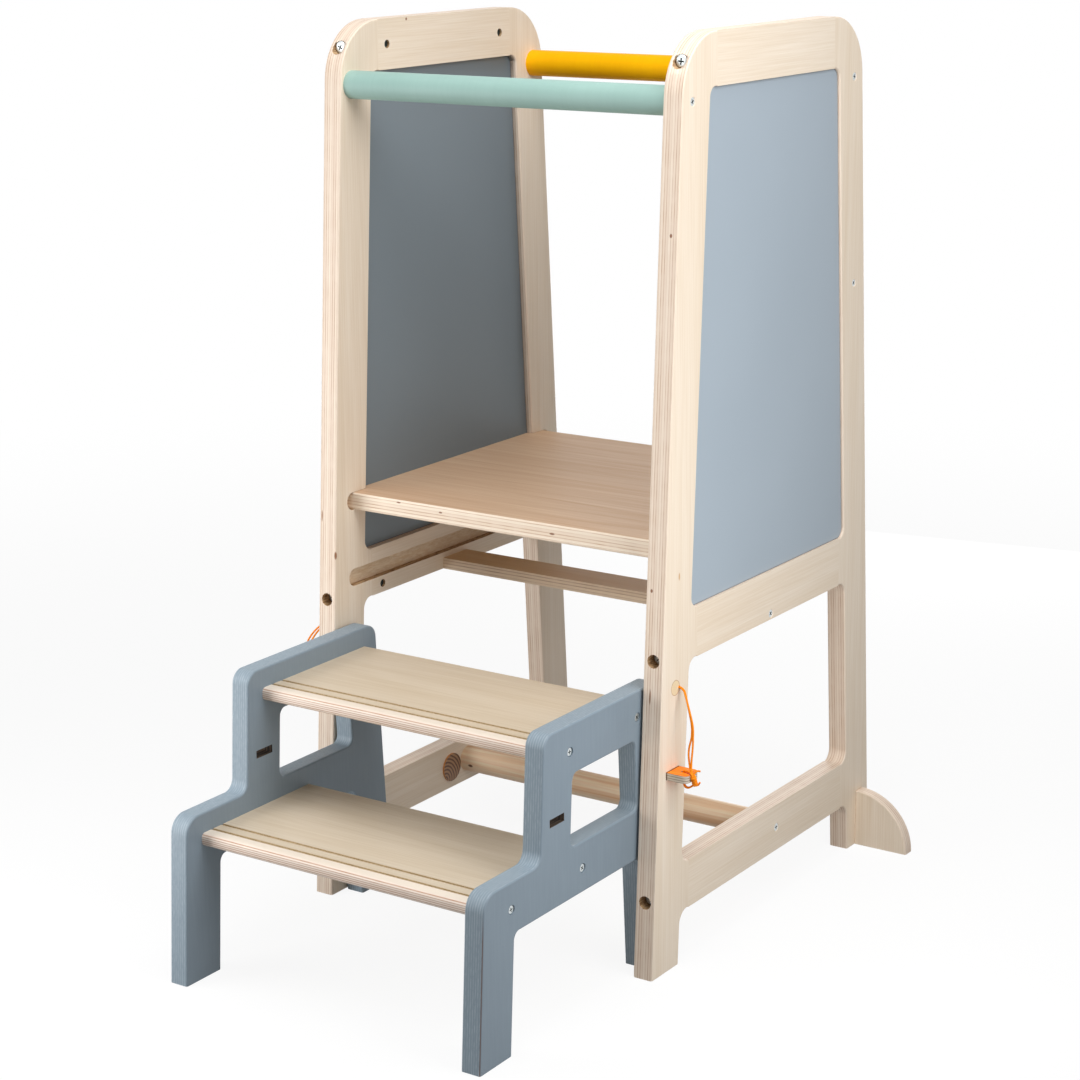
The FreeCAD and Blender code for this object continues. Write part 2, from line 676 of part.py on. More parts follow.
def all_nodes():
    """Every piece of the object by name, in the tower's own coordinates."""
    nodes = {}
    for side in SIDES:
        nodes.update(side_frame(side))
        nodes[f"{side}_panel"] = panel_solid(side)
        nodes[f"{side}_stabiliser"] = fin_solid(side)
        nodes[f"{side}_spare_stub"] = spare_stub(side)
        cord = cord_solid(side)
        key = key_solid(side)
        knot = knot_solid(side)
        nodes[f"{side}_cord_plug"] = on_side(plug_solid(), side)
        nodes[f"{side}_key"] = key
        nodes[f"{side}_cord"] = cord
        nodes[f"{side}_cord_knot"] = knot.cut([key, cord])
        nodes[f"stool_{side}_side"] = stool_side(side)
    nodes["platform"] = platform_solid()
    nodes["cross_rail"] = cross_rail_solid()
    nodes["front_grip_bar"] = bar_solid(GRIP_BARS[0], GRIP_BAR_HEIGHT)
    nodes["rear_grip_bar"] = bar_solid(GRIP_BARS[1], GRIP_BAR_HEIGHT)
    nodes["lower_spreader"] = bar_solid(SPREADER_OFFSET, SPREADER_HEIGHT)
    nodes["lower_step"] = step_solid(LOWER_STEP)
    nodes["upper_step"] = step_solid(UPPER_STEP)

    seats = [(n, end) for end in ENDS for n in range(len(BOLT_HEIGHTS))]
    groups = {
        "frame_bolts": both_sides([frame_bolt(*seat) for seat in seats]),
        "barrel_nuts": both_sides([barrel_nut(*seat) for seat in seats]),
        "bar_screws": both_sides(outer_screws()),
        "stabiliser_screws": both_sides([fin_screw(z) for z in FOOT_SCREW_HEIGHTS]),
        "step_screws": both_sides(step_screws()),
    }
    for name, shapes in groups.items():
        nodes[name] = Part.makeCompound(shapes)
    nodes["accessory_screw"] = accessory_screw()
    return nodes


os.makedirs("parts", exist_ok=True)
to_row_origin = Vector(0, -MIDDLE_OF_FOOTPRINT, 0)
for node_name, node_shape in sorted(all_nodes().items()):
    placed = node_shape.copy()
    placed.translate(to_row_origin)
    solids = len(placed.Solids)
    print(f"{node_name}: {solids} solid(s), valid {placed.isValid()}, volume {placed.Volume / 1000:.2f} cm3")
    placed.exportStep(f"parts/{node_name}.step")
print(f"stool travel {STOOL_TRAVEL:.2f}, key depth {KEY_DEPTH:.2f}, origin shift {-MIDDLE_OF_FOOTPRINT:.2f}")
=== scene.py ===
"""Toddler kitchen helper stool: a birch ply tower, its pull-out step stool and two wooden keys on cords.

Metres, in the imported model's frame: X across, Y from the steps to the back, Z up.
"""

import bpy
import math
from mathutils import Matrix, Vector


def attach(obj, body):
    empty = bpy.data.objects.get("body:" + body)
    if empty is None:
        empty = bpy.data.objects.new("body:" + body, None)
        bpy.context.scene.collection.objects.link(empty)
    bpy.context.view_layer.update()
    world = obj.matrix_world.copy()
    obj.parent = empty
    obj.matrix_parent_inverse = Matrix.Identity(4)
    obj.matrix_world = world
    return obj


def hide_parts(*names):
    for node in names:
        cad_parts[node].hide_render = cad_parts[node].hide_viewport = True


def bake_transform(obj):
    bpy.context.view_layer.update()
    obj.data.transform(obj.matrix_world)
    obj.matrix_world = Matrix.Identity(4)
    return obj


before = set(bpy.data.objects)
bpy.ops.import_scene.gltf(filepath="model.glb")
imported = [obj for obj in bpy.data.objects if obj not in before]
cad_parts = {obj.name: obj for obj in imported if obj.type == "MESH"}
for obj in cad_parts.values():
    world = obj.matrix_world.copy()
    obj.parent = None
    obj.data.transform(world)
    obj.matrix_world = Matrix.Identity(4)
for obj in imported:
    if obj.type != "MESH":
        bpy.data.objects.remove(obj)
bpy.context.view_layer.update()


# Camera
# The photograph's view: a long lens, a little above the upper grip bars, looking down at the steps.
# Its axis meets the picture above the middle, which the vertical shift gives back.
turn, tip, roll = (math.radians(angle) for angle in (34.0636, 13.6615, -0.4878))
ahead = Vector((-math.sin(turn) * math.cos(tip), math.cos(turn) * math.cos(tip), -math.sin(tip)))
level = ahead.cross(Vector((0, 0, 1))).normalized()
upright = level.cross(ahead)
rightward = level * math.cos(roll) + upright * math.sin(roll)
upward = upright * math.cos(roll) - level * math.sin(roll)
bpy.ops.object.camera_add()
camera = bpy.context.object
camera.name = "photograph_view"
camera.matrix_world = (
    Matrix.Translation((1.40146, -2.05387, 1.04978)) @ Matrix((rightward, upward, -ahead)).transposed().to_4x4()
)
camera.data.sensor_width = 36
camera.data.lens = 85.254
camera.data.shift_y = -0.0506
camera.data.clip_end = 50
bpy.context.scene.camera = camera


# Floor and light
# A white studio floor that keeps a faint soft shadow near the object. Softboxes stand in front on the left, low and
# high on the right, overhead, high in front and low behind, and the pale surroundings fill the rest.
def colour(code):
    """An sRGB hex value as linear red, green and blue, with alpha."""
    parts = [int(code[n : n + 2], 16) / 255 for n in (1, 3, 5)]
    return [part / 12.92 if part <= 0.04045 else ((part + 0.055) / 1.055) ** 2.4 for part in parts] + [1.0]


def add(tree, kind, sockets=None, **settings):
    """Makes a shader node with its settings, input values and links, and gives back its outputs."""
    node = tree.nodes.new("ShaderNode" + kind)
    for name, value in settings.items():
        setattr(node, name, value)
    for socket, value in (sockets or {}).items():
        if isinstance(value, bpy.types.NodeSocket):
            tree.links.new(value, node.inputs[socket])
        else:
            node.inputs[socket].default_value = value
    return node.outputs


def new_finish(name):
    """An empty material and its node tree."""
    material = bpy.data.materials.new(name)
    material.use_nodes = True
    material.node_tree.nodes.clear()
    return material, material.node_tree


bpy.context.scene.view_settings.view_transform = "Standard"
world = bpy.data.worlds.new("white_surroundings")
bpy.context.scene.world = world
world.use_nodes = True
tree = world.node_tree
tree.nodes.clear()
ray = add(tree, "LightPath")
seen = add(tree, "Math", {0: ray["Is Camera Ray"], 1: ray["Is Glossy Ray"]}, operation="MAXIMUM")
seen = add(tree, "Math", {0: seen[0], 1: ray["Is Transmission Ray"]}, operation="MAXIMUM")
ambient = add(tree, "Background", {"Color": colour("#ffffff"), "Strength": 0.187})
backdrop = add(tree, "Background", {"Color": colour("#ffffff"), "Strength": 1.0})
shown = add(tree, "MixShader", {0: seen[0], 1: ambient[0], 2: backdrop[0]})
add(tree, "OutputWorld", {"Surface": shown[0]})

bpy.ops.mesh.primitive_plane_add(size=40, location=(0, 0, -0.0002))
floor = bpy.context.object
floor.name = "floor"
bpy.ops.object.transform_apply(location=True)
floor_paint, tree = new_finish("matt_white_floor_paint")
ray = add(tree, "LightPath")
seen = add(tree, "Math", {0: ray["Is Camera Ray"], 1: ray["Is Glossy Ray"]}, operation="MAXIMUM")
paint = add(tree, "Mix", {0: seen[0], 6: colour("#a3a3a3"), 7: colour("#ffffff")}, data_type="RGBA")
matt = add(tree, "BsdfDiffuse", {"Color": paint[2]})
# The floor's own glow hides its shading, a little less within 0.6 m of the origin than beyond 2.6 m
away = add(tree, "TexCoord")["Object"]
away = add(tree, "VectorMath", {0: away}, operation="LENGTH")["Value"]
away = add(tree, "MapRange", {"Value": away, 1: 0.6, 2: 2.6, 3: 0.9, 4: 1.0}, interpolation_type="SMOOTHSTEP")[0]
share = add(tree, "Math", {0: seen[0], 1: away}, operation="MULTIPLY")
glow = add(tree, "Emission", {"Color": colour("#ffffff"), "Strength": 1.0})
blend = add(tree, "MixShader", {0: share[0], 1: matt[0], 2: glow[0]})
add(tree, "OutputMaterial", {"Surface": blend[0]})
floor.data.materials.append(floor_paint)

LAMP_AIM = Vector((0, 0, 0.55))
for name, place, size, power in (
    ("left_front", (-0.64, -0.72, 0.62), 0.55, 4.0),
    ("low_left", (-0.45, -0.6, 0.17), 0.3, 1.0),
    ("right_front", (0.7, -0.22, 0.41), 0.45, 2.0),
    ("high_right", (0.82, -0.12, 1.28), 0.6, 5.5),
    ("overhead", (0.2, -0.26, 1.9), 0.8, 6.6),
    ("high_front", (0.24, -0.72, 1.8), 0.6, 6.9),
    ("back", (-0.3, 1.6, 0.4), 0.8, 6.0),
):
    bpy.ops.object.light_add(type="AREA", location=place)
    lamp = bpy.context.object
    lamp.name = name + "_softbox"
    lamp.data.shape = "SQUARE"
    lamp.data.size = size
    lamp.data.energy = power
    lamp.visible_camera = False
    lamp.rotation_euler = (LAMP_AIM - Vector(place)).to_track_quat("-Z", "Y").to_euler()


# Key cords
# Each key hangs on one thin orange polyester cord, doubled into a loop. Both strands leave a wedge plug in the
# front stile, run close together and part again just above the knot on the key's end.
TOWER_MIDDLE = 0.12675
STRAND_RADIUS = 0.00095


def tower_point(x, y, z):
    """A place from millimetres about the tower's own mid-plane."""
    return Vector((x * 0.001, y * 0.001 + TOWER_MIDDLE, z * 0.001))


def new_curve(name, kind, places):
    """A curve object with one spline of these points."""
    curve = bpy.data.curves.new(name, "CURVE")
    curve.dimensions = "3D"
    spline = curve.splines.new(kind)
    spline.points.add(len(places) - 1)
    for point, place in zip(spline.points, places):
        point.co = (*place, 1.0)
    line = bpy.data.objects.new(name, curve)
    bpy.context.scene.collection.objects.link(line)
    return line


def smooth_line(route):
    """The points of a smooth curve drawn by a route's control points."""
    line = new_curve("line", "NURBS", route)
    spline = line.data.splines[0]
    spline.order_u = 3
    spline.use_endpoint_u = True
    spline.resolution_u = 12
    drawn = bpy.data.meshes.new_from_object(line)
    places = [vertex.co.copy() for vertex in drawn.vertices]
    bpy.data.objects.remove(line)
    return places


def select_only(*pieces):
    """Deselects everything, then selects these pieces and makes the first of them active."""
    for other in bpy.context.selected_objects:
        other.select_set(False)
    for piece in pieces:
        piece.select_set(True)
    if pieces:
        bpy.context.view_layer.objects.active = pieces[0]


def round_tube(name, places, radius):
    """A round tube through the places, as a mesh."""
    tube = new_curve(name, "POLY", places)
    tube.data.bevel_depth = radius
    tube.data.bevel_resolution = 3
    tube.data.use_fill_caps = True
    select_only(tube)
    bpy.ops.object.convert(target="MESH")
    bpy.ops.object.shade_smooth()
    return bpy.context.object


# Thin twisted polyester cord: a soft shine, and fine slanting ridges where its yarns turn
cord_polyester, tree = new_finish("twisted_orange_polyester_cord")
place = add(tree, "TexCoord")["Object"]
ridges = {"Vector": place, "Scale": 520.0, "Distortion": 1.5, "Detail": 1.0, "Detail Scale": 2.0}
ridges = add(tree, "TexWave", ridges, bands_direction="DIAGONAL")["Fac"]
fuzz = add(tree, "TexNoise", {"Vector": place, "Scale": 900.0, "Detail": 3.0})[0]
tone = add(tree, "Mix", {0: ridges, 6: colour("#f57f0c"), 7: colour("#ff9d16")}, data_type="RGBA")[2]
raised = add(tree, "Mix", {0: 0.3, 2: ridges, 3: fuzz})[0]
bump = add(tree, "Bump", {"Strength": 0.5, "Distance": 0.0001, "Height": raised})[0]
sockets = {"Base Color": tone, "Roughness": 0.62, "Specular IOR Level": 0.2, "Normal": bump}
surface = add(tree, "BsdfPrincipled", sockets)
add(tree, "OutputMaterial", {"Surface": surface[0]})

CORD_START = (203.0, -179.6, 285.4)
CORD_END = (228.4, -193.5, 211.5)
cord_routes = {
    "right": [
        CORD_START,
        (211.8, -179.6, 285.4),
        (217.6, -183.8, 276.0),
        (223.5, -187.5, 264.0),
        (228.0, -189.6, 252.0),
        (228.4, -190.6, 240.0),
        (226.8, -191.2, 229.0),
        (227.0, -192.3, 218.5),
        CORD_END,
    ],
    "left": [
        CORD_START,
        (211.6, -179.6, 285.0),
        (222.0, -184.5, 280.4),
        (233.2, -188.5, 268.6),
        (239.6, -192.0, 255.0),
        (238.0, -192.8, 241.0),
        (231.0, -192.0, 229.5),
        (227.2, -192.4, 218.5),
        CORD_END,
    ],
}
# The strands twist a quarter turn about each other up to this share of the way, and part after it
PARTINGS = {"right": 0.62, "left": 0.16}
STRAND_TURNS = 0.25
CLOSE_GAP = 0.85 * STRAND_RADIUS
WIDEST_GAP = 0.0021
# The winding round the knot: its turns, the steps it is drawn in, its radius in millimetres, and how many times as
# thick as one strand it is drawn
KNOT_TURNS = 4.5
KNOT_STEPS = 40
WINDING_RADIUS = 1.75
WINDING_THICKNESS = 1.35
for side, mirror in (("left", -1), ("right", 1)):
    middle = smooth_line([tower_point(mirror * x, y, z) for x, y, z in cord_routes[side]])
    parting = PARTINGS[side]
    strands = ([], [])
    for n, here in enumerate(middle):
        along = n / (len(middle) - 1)
        run = (middle[min(n + 1, len(middle) - 1)] - middle[max(n - 1, 0)]).normalized()
        across = Vector((mirror, 0, 0.6))
        across = (across - run * across.dot(run)).normalized()
        swing = 2 * math.pi * STRAND_TURNS * max(0.0, parting - along) / parting
        across = Matrix.Rotation(swing, 3, run) @ across
        open_share = max(0.0, along - parting) / (1 - parting)
        gap = CLOSE_GAP + (WIDEST_GAP - CLOSE_GAP) * math.sin(math.pi * open_share) ** 1.3
        strands[0].append(here + across * gap)
        strands[1].append(here - across * gap)
    for letter, strand in zip("ab", strands):
        cord = round_tube(f"{side}_cord_strand_{letter}", strand, STRAND_RADIUS)
        cord.data.materials.append(cord_polyester)
        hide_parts(f"{side}_cord")
        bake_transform(cord)

    # The knot lies over the key's end: both strands come out of the hole above and below the key and meet the
    # cord's end, and two short cut ends stand out of the turns wound round them. Its places are in millimetres.
    ties = []
    for aside in (-0.55, 0.55):
        ties += [
            [
                (219.4, -191.77 + aside, 202.0),
                (219.6, -191.9 + aside, 207.3),
                (223.5, -193.0 + aside, 207.6),
                (229.0, -194.6 + aside, 207.6),
                (232.0, -196.6 + aside, 206.6),
                (233.2, -196.4 + aside, 202.0),
                (233.0, -193.5 + aside, 195.0),
            ],
            [
                (219.4, -191.77 + aside, 202.0),
                (219.4, -191.5 + aside, 195.0),
                (221.0, -191.2 + aside, 190.6),
                (224.6, -191.0 + aside, 189.9),
                (228.4, -191.2 + aside, 192.4),
                (232.4, -192.4 + aside, 196.0),
                (233.0, -195.0 + aside, 202.0),
            ],
            [
                (228.4 + aside, -193.5, 211.5),
                (229.4 + aside, -194.6, 209.2),
                (231.6 + aside * 0.5, -195.9, 206.0),
                (232.8, -196.2 + aside, 202.0),
                (233.2, -194.0 + aside, 196.0),
            ],
        ]
    ties.append([(232.6, -195.4, 206.0), (234.0, -193.6, 208.8), (236.0, -192.4, 210.0), (238.2, -192.0, 209.6)])
    ties.append([(233.0, -192.4, 194.4), (234.8, -191.2, 194.6), (236.4, -191.0, 196.4), (237.2, -191.0, 198.0)])
    top, foot = Vector((232.9, -197.0, 206.0)), Vector((233.1, -192.0, 193.4))
    axis = (foot - top).normalized()
    first = axis.orthogonal().normalized()
    second = axis.cross(first)
    wound = []
    for n in range(KNOT_STEPS + 1):
        angle = 2 * math.pi * KNOT_TURNS * n / KNOT_STEPS
        spot = top + (foot - top) * (0.08 + 0.84 * n / KNOT_STEPS)
        spot = spot + first * (WINDING_RADIUS * math.cos(angle)) + second * (WINDING_RADIUS * math.sin(angle))
        wound.append(spot)
    ties.append(wound)
    tubes = []
    for n, tie in enumerate(ties):
        line = smooth_line([tower_point(mirror * x, y, z) for x, y, z in tie])
        radius = STRAND_RADIUS * (WINDING_THICKNESS if tie is wound else 1.0)
        tubes.append(round_tube(f"{side}_knot_part_{n}", line, radius))
    for tube in tubes:
        tube.select_set(True)
    bpy.ops.object.join()
    knot = bpy.context.object
    knot.name = f"{side}_knot"
    knot.data.materials.append(cord_polyester)
    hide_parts(f"{side}_cord_knot")
    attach(knot, f"{side}_key")


# Side frames
# Four leaning stiles and six rails of 21 mm birch ply, butted and bolted, then sanded round at the rims and given
# a clear matt lacquer. The grain runs along each piece, and the edges show the veneers.
def wood_fibres(tree, place, scale, detail, bend, low, high):
    """The figure that fibres give: noise drawn out along them, which runs from 0 to 1 between two of its levels."""
    drawn_out = add(tree, "Mapping", {"Vector": place, "Scale": scale})[0]
    figure = add(tree, "TexNoise", {"Vector": drawn_out, "Scale": 1.0, "Detail": detail, "Distortion": bend})[0]
    return add(tree, "MapRange", {"Value": figure, 1: low, 2: high})[0]


def with_knot(tree, place, tone, centre, size, shade, low=0.0, high=0.4, share=0.95):
    """The tone with a pin knot in it: an oval at its own place, with its half sizes in millimetres and its shade."""
    local = {"Vector": place, "Location": tower_point(*centre), "Scale": [half * 0.001 for half in size]}
    local = add(tree, "Mapping", local, vector_type="TEXTURE")[0]
    oval = add(tree, "TexGradient", {"Vector": local}, gradient_type="SPHERICAL")[1]
    oval = add(tree, "MapRange", {"Value": oval, 1: low, 2: high, 3: 0.0, 4: share})[0]
    return add(tree, "Mix", {0: oval, 6: tone, 7: colour(shade)}, data_type="RGBA")[2]


def birch_ply(
    name,
    through,
    along,
    span,
    veneers,
    tones,
    mirrored=False,
    knots=(),
    figure=0.8,
    faintest=0.35,
    turned=0.2,
    land=None,
    grooves=(),
):
    """Birch ply: a long-grained face over a pale core, whose thin turned veneers show as lines at the edges.

    through and along are the axes of its thickness and its grain, span holds the places of its two faces, tones are
    those of the face, its streaks, the core and the lines, and figure bends the broad grain. faintest is the weakest
    line's strength, and turned the lines' half width as a share of a veneer.
    """
    face, streak, core, line = (colour(tone) for tone in tones)
    material, tree = new_finish(name)
    texture = add(tree, "TexCoord")
    place = texture["Object"]

    # Grain of about 1 mm by 90 mm, with a broad soft figure of 25 mm by 400 mm
    grains = []
    for fineness, length, detail, bend in ((900.0, 11.0, 4.0, 0.3), (40.0, 2.5, 3.0, figure)):
        scale = [fineness] * 3
        scale[along] = length
        grains.append(wood_fibres(tree, place, scale, detail, bend, 0.32, 0.68))
    mottle = add(tree, "Mix", {0: 0.4, 2: grains[0], 3: grains[1]})[0]
    face_tone = add(tree, "Mix", {0: mottle, 6: face, 7: streak}, data_type="RGBA")[2]

    # Where they are asked for: a front land sanded paler up to its place along Y, and a browner band along each groove
    # at its place along Y, for its eased edges and the painted shade on them
    spots = add(tree, "SeparateXYZ", {0: place})
    if land:
        pale = add(tree, "MapRange", {"Value": spots[1], 1: land, 2: land + 0.0004, 3: 0.6, 4: 0.0})[0]
        face_tone = add(tree, "Mix", {0: pale, 6: face_tone, 7: core}, data_type="RGBA")[2]
    for groove in grooves:
        groove_band_shade = add(tree, "Math", {0: spots[1], 1: groove}, operation="SUBTRACT")[0]
        groove_band_shade = add(tree, "Math", {0: groove_band_shade}, operation="ABSOLUTE")[0]
        groove_band_shade = add(tree, "MapRange", {"Value": groove_band_shade, 1: 0.0014, 2: 0.0028, 3: 0.8, 4: 0.0})[0]
        face_tone = add(tree, "Mix", {0: groove_band_shade, 6: face_tone, 7: colour("#b99f7a")}, data_type="RGBA")[2]

    # The core, layer by layer: each veneer has a tone of its own, and the sheets wander a little
    depth = spots[through]
    if mirrored:
        depth = add(tree, "Math", {0: depth}, operation="ABSOLUTE")[0]
    layer = add(tree, "MapRange", {"Value": depth, 1: span[0], 2: span[1], 3: 0.3, 4: veneers - 0.3}, clamp=False)[0]
    wave = add(tree, "TexNoise", {"Vector": place, "Scale": 9.0, "Detail": 1.0})[0]
    wave = add(tree, "MapRange", {"Value": wave, 1: 0.25, 2: 0.75, 3: -0.08, 4: 0.08})[0]
    layer = add(tree, "Math", {0: layer, 1: wave}, operation="ADD")[0]
    number = add(tree, "Math", {0: layer}, operation="FLOOR")[0]
    own = add(tree, "TexWhiteNoise", {"W": number}, noise_dimensions="1D")[0]
    own = add(tree, "Mix", {0: 0.45, 2: own, 3: grains[0]})[0]
    dull_core = add(tree, "Mix", {0: 0.3, 6: core, 7: line}, data_type="RGBA")[2]
    edge_tone = add(tree, "Mix", {0: own, 6: core, 7: dull_core}, data_type="RGBA")[2]

    # A turned veneer is a thin brown line, some of them strong, and stronger and weaker along the edge
    nearest = add(tree, "Math", {0: layer}, operation="ROUND")[0]
    strong = add(tree, "TexWhiteNoise", {"W": nearest}, noise_dimensions="1D")[0]
    strong = add(tree, "MapRange", {"Value": strong, 3: faintest, 4: 1.0})[0]
    away = add(tree, "Math", {0: layer, 1: 0.5}, operation="PINGPONG")[0]
    away = add(tree, "MapRange", {"Value": away, 1: 0.2 * turned, 2: turned, 3: 1.0, 4: 0.0})[0]
    away = add(tree, "Math", {0: away, 1: strong}, operation="MULTIPLY")[0]
    broken = add(tree, "TexNoise", {"Vector": place, "Scale": 55.0, "Detail": 3.0})[0]
    broken = add(tree, "MapRange", {"Value": broken, 1: 0.3, 2: 0.65, 3: faintest, 4: 1.0})[0]
    away = add(tree, "Math", {0: away, 1: broken}, operation="MULTIPLY")[0]
    edge_tone = add(tree, "Mix", {0: away, 6: edge_tone, 7: line}, data_type="RGBA")[2]

    normal = add(tree, "SeparateXYZ", {0: texture["Normal"]})[through]
    flat = add(tree, "Math", {0: normal}, operation="ABSOLUTE")[0]
    flat = add(tree, "MapRange", {"Value": flat, 1: 0.86, 2: 0.98}, interpolation_type="SMOOTHSTEP")[0]
    tone = add(tree, "Mix", {0: flat, 6: edge_tone, 7: face_tone}, data_type="RGBA")[2]

    for knot in knots:
        tone = with_knot(tree, place, tone, *knot)
    bump = add(tree, "Bump", {"Strength": 0.22, "Distance": 0.0002, "Height": grains[0]})[0]
    rough = add(tree, "MapRange", {"Value": grains[1], 3: 0.44, 4: 0.56})[0]
    surface = add(tree, "BsdfPrincipled", {"Base Color": tone, "Roughness": rough, "Normal": bump})
    add(tree, "OutputMaterial", {"Surface": surface[0]})
    return material


def worked(node, name, body, slot, material, rims=None, round_over=0.0016, cut=None, cut_materials=()):
    """Replaces a plain solid by a copy, its chosen rims rounded over and its cut places in materials of their own."""
    piece = bpy.data.objects.new(name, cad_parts[node].data.copy())
    bpy.context.scene.collection.objects.link(piece)
    select_only(piece)

    # Welded, each flat face made one again, and the corners over 50 degrees picked out
    bpy.ops.object.mode_set(mode="EDIT")
    bpy.ops.mesh.select_mode(type="EDGE")
    bpy.ops.mesh.select_all(action="SELECT")
    bpy.ops.mesh.remove_doubles(threshold=0.00002)
    bpy.ops.mesh.dissolve_limited(angle_limit=math.radians(0.8))
    bpy.ops.mesh.select_all(action="DESELECT")
    bpy.ops.mesh.edges_select_sharp(sharpness=math.radians(50))
    bpy.ops.object.mode_set(mode="OBJECT")
    mesh = piece.data
    if rims:
        weights = mesh.attributes.get("bevel_weight_edge") or mesh.attributes.new("bevel_weight_edge", "FLOAT", "EDGE")
        for edge in mesh.edges:
            a, b = (mesh.vertices[n].co for n in edge.vertices)
            weights.data[edge.index].value = 1.0 if edge.select and rims(a, b) else 0.0
        rounding = piece.modifiers.new("round_over", "BEVEL")
        rounding.limit_method = "WEIGHT"
        rounding.width = round_over
        rounding.segments = 3
        rounding.use_clamp_overlap = False
        bpy.ops.object.modifier_apply(modifier=rounding.name)
    bpy.ops.object.shade_smooth_by_angle(angle=math.radians(34))
    level = piece.modifiers.new("flat_faces", "WEIGHTED_NORMAL")
    level.keep_sharp = True
    bpy.ops.object.modifier_apply(modifier=level.name)
    mesh.materials.clear()
    for finish in (material, *cut_materials):
        mesh.materials.append(finish)
    for polygon in mesh.polygons:
        polygon.material_index = cut(polygon.center, polygon.normal) if cut else 0
    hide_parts(node)
    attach(piece, body)


FRAME_FACES = (0.186, 0.207)
# Places on the side frames: distance from the tower's mid-plane and height, all in millimetres
GRIP_BAR = (160.3, 838.2)
CORD_PLUG = (186.7, 286.0)
KEY_SLOT = (191.8, 202.0)
ACCESSORY_SCREW = (168.0, 626.5)
CROSS_RAIL_SCREW = (0.0, 313.0)
BARREL_NUTS = ((101.5, 874.5), (97.2, 874.5), (129.2, 316.5), (143.0, 77.5))
BOLT_HEIGHTS = (874.5, 316.5, 77.5)
PLATFORM_GROOVES = (415.2, 334.1)
PLY_MIDDLE = 196.5
FIN_MIDDLE = 204.5
# Places with edges that stay sharp, each with its half extents: holes, grooves and what seats in them
SHARP_PLACES = [
    (*GRIP_BAR, 14.5, 14.5),
    (*CORD_PLUG, 9.0, 9.0),
    (*KEY_SLOT, 13.0, 5.0),
    (FIN_MIDDLE, 28.0, 5.5, 17.5),
    (*ACCESSORY_SCREW, 5.0, 5.0),
    (*CROSS_RAIL_SCREW, 5.5, 5.5),
    (15.0, 77.5, 20.0, 16.5),
]
SHARP_PLACES += [(0.0, height, 186.0, 9.6) for height in PLATFORM_GROOVES]
SHARP_PLACES += [(*barrel, 5.3, 5.3) for barrel in BARREL_NUTS]
# Where the top, middle and bottom rails butt against the stiles, and how near two places count as one, in metres
BUTT_JOINTS = (0.116, 0.1465, 0.160)
NEAR = 0.0001


def frame_rims(a, b):
    """True for an edge on the outline of a side frame's face."""
    if not any(all(abs(abs(p.x) - x) < NEAR for p in (a, b)) for x in FRAME_FACES):
        return False
    if any(all(abs(abs(p.y - TOWER_MIDDLE) - joint) < NEAR for p in (a, b)) for joint in BUTT_JOINTS):
        return False
    middle = (a + b) / 2
    depth = abs(middle.y - TOWER_MIDDLE) * 1000
    for y, z, half_y, half_z in SHARP_PLACES:
        if abs(depth - y) < half_y and abs(middle.z * 1000 - z) < half_z:
            return False
    return middle.z > 0.0005


def frame_cuts(centre, normal):
    """1 in a side frame's bores and key slot and on its grooves' long walls, 2 in the rest of the grooves."""
    x, depth, z = abs(centre.x) * 1000, abs(centre.y - TOWER_MIDDLE) * 1000, centre.z * 1000
    if not 186.1 < x < 206.9:
        return 0
    if abs(normal.y) < 0.3 and any(math.hypot(x - PLY_MIDDLE, z - height) < 7.1 for height in BOLT_HEIGHTS):
        return 1
    if abs(normal.x) < 0.3 and any(math.hypot(depth - y, z - height) < 4.7 for y, height in BARREL_NUTS):
        return 1
    if x < 194.1 and depth < 186 and any(abs(z - height) < 9.5 for height in PLATFORM_GROOVES):
        return 1 if abs(normal.z) > 0.95 else 2
    in_slot = abs(depth - KEY_SLOT[0]) < 12.3 and abs(z - KEY_SLOT[1]) < 4.2
    return 1 if abs(normal.x) < 0.3 and in_slot else 0


def cut_wood(name, light, dark):
    """Birch where a bit or a router has cut it: torn fibres, and no lacquer to speak of."""
    material, tree = new_finish(name)
    place = add(tree, "TexCoord")["Object"]
    fibres = wood_fibres(tree, place, (600.0, 90.0, 600.0), 4.0, 0.6, 0.35, 0.65)
    tone = add(tree, "Mix", {0: fibres, 6: colour(light), 7: colour(dark)}, data_type="RGBA")[2]
    bump = add(tree, "Bump", {"Strength": 0.6, "Distance": 0.0004, "Height": fibres})[0]
    surface = add(tree, "BsdfPrincipled", {"Base Color": tone, "Roughness": 0.75, "Normal": bump})
    add(tree, "OutputMaterial", {"Surface": surface[0]})
    return material


drilled_birch = cut_wood("drilled_and_routed_birch", "#cfae84", "#8a6743")
groove_birch = cut_wood("birch_on_the_groove_floors", "#f3dfc4", "#e2c6a2")

DARK_KNOT = "#83512f"
BROWN_KNOT = "#8d5c38"
BIRCH = ("#f6e8d6", "#e7d4bb", "#f4e4d2", "#bf9676")
stile_knots = [
    ((207, -180.4, 394.5), (2.5, 1.6, 4.5), "#d2a878"),
    ((191.9, -205.7, 384.3), (1.6, 3.0, 2.2), DARK_KNOT),
    ((194.1, -211.9, 281.7), (1.0, 3.0, 9.0), BROWN_KNOT),
    ((199.4, -185.5, 718.0), (1.6, 3.0, 2.4), DARK_KNOT),
    ((-204.0, -204.6, 403.2), (1.0, 3.0, 7.0), BROWN_KNOT),
    ((-186.4, -207.0, 363.9), (1.4, 3.0, 5.0), BROWN_KNOT),
]
rail_knots = [((-186, -68.4, 897.6), (3.0, 1.8, 1.8), DARK_KNOT)]
stile_ply = birch_ply("lacquered_birch_ply_stiles", 0, 2, FRAME_FACES, 8, BIRCH, mirrored=True, knots=stile_knots)
rail_ply = birch_ply("lacquered_birch_ply_rails", 0, 1, FRAME_FACES, 8, BIRCH, mirrored=True, knots=rail_knots)
cuts = {"cut": frame_cuts, "cut_materials": (drilled_birch, groove_birch)}
